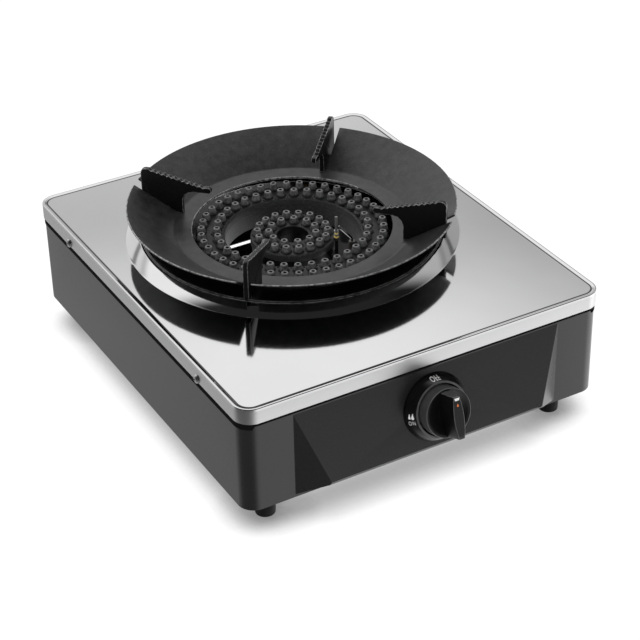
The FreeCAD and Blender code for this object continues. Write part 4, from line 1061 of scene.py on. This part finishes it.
def print_word(word, name, size, middle, at_left, tall, spacing):
    """A word as a flat mesh, stretched to its printed height and carried onto the collar."""
    rest()
    bpy.ops.object.text_add()
    text = bpy.context.object
    text.data.body = word
    text.data.size = size * MM
    text.data.align_x = "CENTER"
    text.data.align_y = "CENTER"
    text.data.space_character = spacing
    text.data.offset = -PRINT_THIN * MM
    text.data.resolution_u = 6
    take(text)
    bpy.ops.object.convert(target="MESH")
    piece = named(name)
    piece.scale = tall
    set_place(piece, Vector((middle[0], middle[1], 0)) * MM)
    fine_print(piece, at_left)
    return piece


def flame(name, middle, height):
    """Two tongues of flame side by side, each a circle drawn up to a leaning point."""
    tongues = []
    for shift, size in ((-0.26, 0.82), (0.26, 1.0)):
        rest()
        bpy.ops.mesh.primitive_circle_add(vertices=24, radius=height * 0.24 * MM * size, fill_type="NGON")
        tongue = named("tongue")
        pick(tongue, "VERT", lambda place: place.y > height * 0.2 * size)
        bpy.ops.transform.resize(value=(0.35, 1, 1), center_override=(0, 0, 0))
        bpy.ops.transform.translate(value=(height * 0.05 * MM, height * 0.5 * MM * size, 0))
        set_place(tongue, Vector((middle[0] + shift * height, middle[1] - height * 0.25, 0)) * MM)
        tongues.append(tongue)
    piece = join(tongues)
    piece.name = name
    piece.data.name = name
    fine_print(piece, True)
    return piece


off_word = print_word("OFF", "off_word", 4.2, (0.0, 0.2), False, (0.98, 1.85, 1), 1.15)
on_word = print_word("ON", "on_word", 3.2, (0.0, -4.5), True, (1.1, 1.5, 1), 1.3)
flame_mark = flame("flame_mark", (0.0, 1.2), 5.2)
words = [off_word, on_word, flame_mark]
print("printed", [piece.name for piece in words])

# %% [markdown]
# The grip's front edge has a white pointer at its top end and a small orange drop under it. They
# are thin inlays, so each is a little slab with broken edges, set a hair above the plastic.

# %% Pointer and drop on the grip
INLAY_DEPTH = 0.12
INLAY_ROUND = 0.04
POINTER_SIZE = (4.4, 2.0, 1)
POINTER_UP = 14.6
DROP_RADIUS = 0.75
DROP_POINT = 0.9
DROP_UP = 9.6


def inlay(piece, up_grip):
    """Thicken a flat mark, break its edges and sink half of it into the grip's front edge."""
    pick(piece, "FACE", anywhere)
    bpy.ops.mesh.extrude_region_move(TRANSFORM_OT_translate={"value": (0, 0, INLAY_DEPTH * MM)})
    clean(piece)
    round_edges(piece, INLAY_ROUND, 1)
    set_place(piece, Vector((0, up_grip, GRIP_FRONT - INLAY_DEPTH / 2)) * MM)
    print(piece.name, "sits", up_grip, "mm up the grip")


rest()
bpy.ops.mesh.primitive_plane_add(size=MM)
pointer = named("pointer")
pointer.scale = POINTER_SIZE
settle()
pick(pointer, "VERT", lambda place: place.y < 0)
bpy.ops.transform.resize(value=(0.75, 1, 1), center_override=(0, 0, 0))
inlay(pointer, POINTER_UP)

rest()
bpy.ops.mesh.primitive_circle_add(vertices=20, radius=DROP_RADIUS * MM, fill_type="NGON")
drop = named("drop")
pick(drop, "VERT", lambda place: place.y > 0.5)
bpy.ops.transform.resize(value=(0.3, 1, 1), center_override=(0, 0, 0))
bpy.ops.transform.translate(value=(0, DROP_POINT * MM, 0))
inlay(drop, DROP_UP)

# %% Lean the dial onto the panel
for piece in [bezel, knob, pointer, drop] + words:
    set_place(piece, *ON_PANEL)
fit(bezel, "stove", "bezel_plastic", gloss_black, "dial_bezel")
fit(knob, "knob", "knob_plastic", satin_black, "control_knob")
fit(pointer, "knob", "knob_plastic", white_print)
fit(drop, "knob", "knob_plastic", orange_print)
for piece in words:
    fit(piece, "stove", "bezel_plastic", white_print)

# %% [markdown]
# ## Metals, rubber and the pieces inside
#
# The pieces under the lid are seen through the burner and from below. Their CAD shapes are right as
# they are, so they only need finishes: zinc-plated steel, drawn aluminium pipe, turned brass,
# cable and rubber, with painted shade for the ceramic insulator, the ignition bracket and the burner
# body. A Bevel node rounds their edges for the light.

# %% Metal, rubber and cable finishes
zinc_steel = grained("zinc_steel", 3, 3.0, grey(0.48, 0.49), grey(0.66), 0.22, 0.16, Metallic=1.0)
zinc_steel.relief(zinc_steel.grain(0.5, 2.0), 0.01, 0.3)

drawn_pipe = Finish("drawn_pipe", Metallic=1.0)
streak = drawn_pipe.grain(1.0, 3.0, drawn_pipe.stretched((1.0, 0.06, 1.0)))
drawn_pipe.tone(streak, (0.60, 0.61, 0.62, 1), (0.76, 0.77, 0.78, 1), 0.26, 0.14)
drawn_pipe.relief(streak, 0.01)

turned_brass = grained("turned_brass", 5, 4.0, (0.62, 0.42, 0.16, 1), (0.80, 0.60, 0.26, 1), 0.2, 0.2,
                       Metallic=1.0)
turned_brass.relief(turned_brass.grain(0.25, 1.0, turned_brass.stretched((0.1, 1.0, 0.1))), 0.01, 0.3)

# A lighter, mostly matte copy of the brass: painted light.
lit_brass = grained("lit_brass", 2, 3.0, (0.85, 0.60, 0.14, 1), (0.95, 0.78, 0.30, 1), 0.18, 0.15,
                       Metallic=0.1, Coat_Weight=0.5)

PIN_DARK = 112.0
PIN_PALE = 117.0
probe_steel = Finish("probe_steel", Metallic=0.4)
heat = probe_steel.grain(3, 4.0)
upper = probe_steel.step(probe_steel.part(probe_steel.place, "Z"), PIN_DARK * MM, PIN_PALE * MM)
grey_pin = probe_steel.mix(heat, (0.12, 0.115, 0.11, 1), (0.30, 0.295, 0.29, 1))
probe_steel.set(Base_Color=probe_steel.mix(upper, (0.012, 0.011, 0.011, 1), grey_pin),
                Roughness=0.32 + heat * 0.2)

# Near black for the ignition bracket, deep in the burner: painted shade.
shaded_steel = Finish("shaded_steel", Metallic=0.3)
steel_grain = shaded_steel.grain(2, 4.0)
shaded_steel.tone(steel_grain, (0.010, 0.008, 0.008, 1), (0.026, 0.021, 0.020, 1), 0.5, 0.25)
shaded_steel.relief(steel_grain, 0.03, 0.2)

# The insulator is made near black: painted shade.
shaded_ceramic = grained("shaded_ceramic", 2, 2.0, (0.030, 0.027, 0.025, 1), (0.060, 0.054, 0.050, 1), 0.3, 0.15,
                  Coat_Weight=0.2)
rubber = grained("rubber", 6, 4.0, grey(0.005), grey(0.011), 0.62, 0.2, Specular_IOR_Level=0.3)
rubber.relief(rubber.grain(0.7, 3.0), 0.03, 0.5)
cable = grained("cable", 8, 3.0, grey(0.014), grey(0.030), 0.42, 0.2)
print("finishes so far:", len(bpy.data.materials))

# %% Finishes for the pieces inside
inside = {
    zinc_steel: ["foot_screws", "burner_bracket", "bracket_screws", "burner_screws", "outer_air_shutter",
                 "inner_air_shutter", "valve_screws", "valve_return_spring", "knob_clip"],
    probe_steel: ["spark_electrode", "thermocouple"],
    # Painted shade: the bracket and the insulator are coloured near black.
    shaded_steel: ["ignition_bracket"],
    drawn_pipe: ["valve_outlet_pipe", "gas_supply_pipe"],
    turned_brass: ["outer_injector", "inner_injector", "injector_block", "valve_body", "valve_spindle",
                   "valve_plunger", "hose_inlet", "inlet_nut"],
    # The burner body takes the shaded iron: painted shade for its dark inside.
    shaded_iron: ["burner_body"],
    shaded_ceramic: ["electrode_insulator"],
    rubber: ["rubber_feet", "inlet_washer"],
    cable: ["piezo_igniter", "ignition_lead", "thermocouple_lead"],
}
for finish, group in inside.items():
    for node in group:
        nodes[node].data.materials.clear()
        dress(nodes[node], finish)
print("finished", sum(len(group) for group in inside.values()), "CAD pieces where they stand")

# %% [markdown]
# The flame probe is a steel pin held by a brass collar with a thin neck. Only the collar is bright,
# so a small turned cup with rounded ends is slipped over the CAD pin. Its brass is a lighter, mostly
# matte copy of the turned brass: painted light.

# %% Probe collar
PROBE_RADIUS = 38.7
PROBE_ANGLE = math.radians(-55)
PROBE_REACH = Vector((math.cos(PROBE_ANGLE), math.sin(PROBE_ANGLE), 0)) * PROBE_RADIUS
sleeve = lathe("probe_collar", soften([
    (1.2, 112.0, 0), (1.4, 112.0, 0.1), (2.0, 114.2, 0.4), (2.0, 115.6, 0.3), (1.3, 116.0, 0.1),
    (1.3, 118.4, 0.05), (1.2, 118.4, 0)]), 24, 0.0)
set_place(sleeve, (PROBE_REACH + Vector((0, BURNER_Y, 0))) * MM)
smooth(sleeve)
fit(sleeve, "stove", "brass", lit_brass)

# %% [markdown]
# ## Lid screws
#
# Four domed screws hold the lid's skirt. A dome is spun from a short arc, and a cross is sunk into
# it with a boolean, because a plain dome reads as a rivet.

# %% Lid screws
SCREW_HEAD = 3.6
SCREW_DOME = 2.4
SCREW_EDGE = 0.4
SCREW_SUNK = -0.6
SCREW_Z = 102.2
SCREW_Y = (115.5, -111.5)
SLOT_SIZE = (3.4, 0.8, 2.0)
SLOT_HEIGHT = 2.5
SLOT_TURN = 0.4
arc = [math.radians(angle) for angle in range(10, 91, 10)]
swelling = [(SCREW_HEAD * math.cos(angle), SCREW_EDGE + (SCREW_DOME - SCREW_EDGE) * math.sin(angle))
            for angle in arc]
dome = lathe("dome", [(0, SCREW_SUNK), (SCREW_HEAD, SCREW_SUNK), (SCREW_HEAD, SCREW_EDGE)] + swelling,
             32, 0.0, closed=False)
for turn in (0, math.pi / 2):
    rest()
    bpy.ops.mesh.primitive_cube_add(size=MM)
    slot = named("slot")
    slot.scale = SLOT_SIZE
    set_place(slot, (0, 0, SLOT_HEIGHT * MM), (0, 0, turn + SLOT_TURN))
    combine(dome, slot)
smooth(dome, 40)
heads = []
for side in (-1, 1):
    for screw_y in SCREW_Y:
        head = copy_of(dome, "lid_screw")
        set_place(head, Vector((side * LID_WIDTH / 2, screw_y, SCREW_Z)) * MM, (0, side * math.pi / 2, 0))
        heads.append(head)
bpy.data.objects.remove(dome)
lid_screw_heads = join(heads)
lid_screw_heads.name = "lid_screw_heads"
fit(lid_screw_heads, "stove", "plain_steel", polished_steel, "lid_screws")

# %% [markdown]
# ## Studio
#
# The photograph is a packshot: a white floor, soft light from all round, a large soft box behind the
# stove and a dark room on the photographer's side. Even light comes from the world. What gloss and
# polish mirror is told apart by direction: the soft box behind, the pale table below, and the dark
# side where the camera stands. The table keeps only a close shadow, painted into its glow from how
# close the stove is, and darker still right under it.

# %% Floor
CONTACT = 0.036
UNDER_X = (-0.13, -0.10, 0.140, 0.155)
UNDER_Y = (-0.13, -0.10, 0.168, 0.178)
rest()
bpy.ops.mesh.primitive_plane_add(size=30)
floor = named("floor")
floor_paper = Finish("floor_paper", Roughness=0.9)
floor_paper.set(Base_Color=floor_paper.mix(floor_paper.grain(3, 2.0), grey(0.955), grey(0.975)))
seen = floor_paper.node("ShaderNodeLightPath", {}, {}, "Is Camera Ray")
near = floor_paper.node("ShaderNodeAmbientOcclusion", {"samples": 16}, {"Distance": CONTACT}, "AO")
floor_x, floor_y = (floor_paper.part(floor_paper.place, axis) for axis in "XY")
# Painted shadow: the table's glow is dimmed close to the stove and under it.
under = floor_paper.band(floor_x, *UNDER_X) * floor_paper.band(floor_y, *UNDER_Y)
glow = (floor_paper.step(near, 0.35, 0.88) * 0.8 + 0.27) * (1 - under * 0.92)
shadow_glow = floor_paper.node("ShaderNodeEmission", {}, {"Strength": glow})
paper = Value(floor_paper, floor_paper.shader.outputs[0])
table = floor_paper.node("ShaderNodeMixShader", {}, {0: seen, 1: paper, 2: shadow_glow})
floor_paper.feed(floor_paper.tree.nodes["Material Output"].inputs["Surface"], table)
dress(floor, floor_paper)
floor.visible_glossy = False
print("floor is", round(floor.dimensions.x), "m wide")

# %% World
world = bpy.data.worlds.new("studio")
bpy.context.scene.world = world
world.use_nodes = True
world.cycles.sampling_method = "NONE"
studio = Tree(world.node_tree)
is_camera, is_glossy, is_through = (studio.node("ShaderNodeLightPath", {}, {}, "Is " + kind + " Ray")
                                    for kind in ("Camera", "Glossy", "Transmission"))
direction = studio.node("ShaderNodeTexCoord", {}, {})
to_right, to_back, to_top = (studio.part(direction, axis) for axis in "XYZ")


def ramp(value, low, high, first, last):
    """From first to last while the value goes from low to high."""
    return studio.node("ShaderNodeMapRange", {"interpolation_type": "SMOOTHSTEP"},
                       {"Value": value, "From Min": low, "From Max": high, "To Min": first, "To Max": last})


soft_box = ramp(to_top, 0.485, 0.55, 0.70, 1.25) + ramp(to_top, 0.44, 0.485, 0.25, 0.0)
gap = ramp(to_top, 0.33, 0.36, 0.0, 1.0) * ramp(to_top, 0.385, 0.41, 1.0, 0.0)
behind = ramp(to_back + to_right * 0.35, 0.10, 0.38, 0.02, 1.0) * ramp(to_right, 0.42, 0.62, 1.0, 0.5)
sky = soft_box * (1 - gap * 0.7) * behind
front_glow = (ramp(to_right * 0.49 - to_back * 0.87, 0.3, 0.8, 0.0, 0.65)
              * ramp(to_top, -0.45, -0.10, 1.0, 0.0))
lit_table = 0.56 + front_glow + ramp(to_right, 0.5, 0.8, 0.0, 0.8)
ground = ((lit_table - ramp(to_top, -0.35, -0.05, 0.0, 0.35))
          * ramp(to_right * -0.87 - to_back * 0.5, 0.25, 0.65, 1.0, 0.25))
above = ramp(to_top, -0.02, 0.02, 0.0, 1.0)
even = studio.node("ShaderNodeBackground", {}, {"Strength": 0.85})
white = studio.node("ShaderNodeBackground", {}, {"Strength": 1.0})
mirrored = studio.node("ShaderNodeBackground", {}, {"Strength": sky * above + ground * (1 - above)})
for background in (even, white, mirrored):
    background.socket.node.inputs["Color"].default_value = (1, 1, 1, 1)
lighting = studio.node("ShaderNodeMixShader", {}, {0: is_glossy + is_through, 1: even, 2: mirrored})
shown = studio.node("ShaderNodeMixShader", {}, {0: is_camera, 1: lighting, 2: white})
studio.feed(world.node_tree.nodes["World Output"].inputs["Surface"], shown)
print("world takes", len(world.node_tree.nodes), "nodes")

# %% Lamp and view
LAMP_PLACE = Vector((-0.7, 0.9, 1.5))
LAMP_AIM = Vector((0, 0, 0.1))
rest()
bpy.ops.object.light_add(type="AREA", location=LAMP_PLACE)
lamp = named("soft_box")
lamp.data.shape = "DISK"
lamp.data.size = 1.0
lamp.data.energy = 8
lamp.rotation_mode = "QUATERNION"
lamp.rotation_quaternion = (LAMP_AIM - LAMP_PLACE).to_track_quat("-Z", "Y")
lamp.visible_glossy = False
bpy.context.scene.view_settings.view_transform = "Standard"
print("lamp gives", lamp.data.energy, "W from", round(LAMP_PLACE.length, 2), "m")
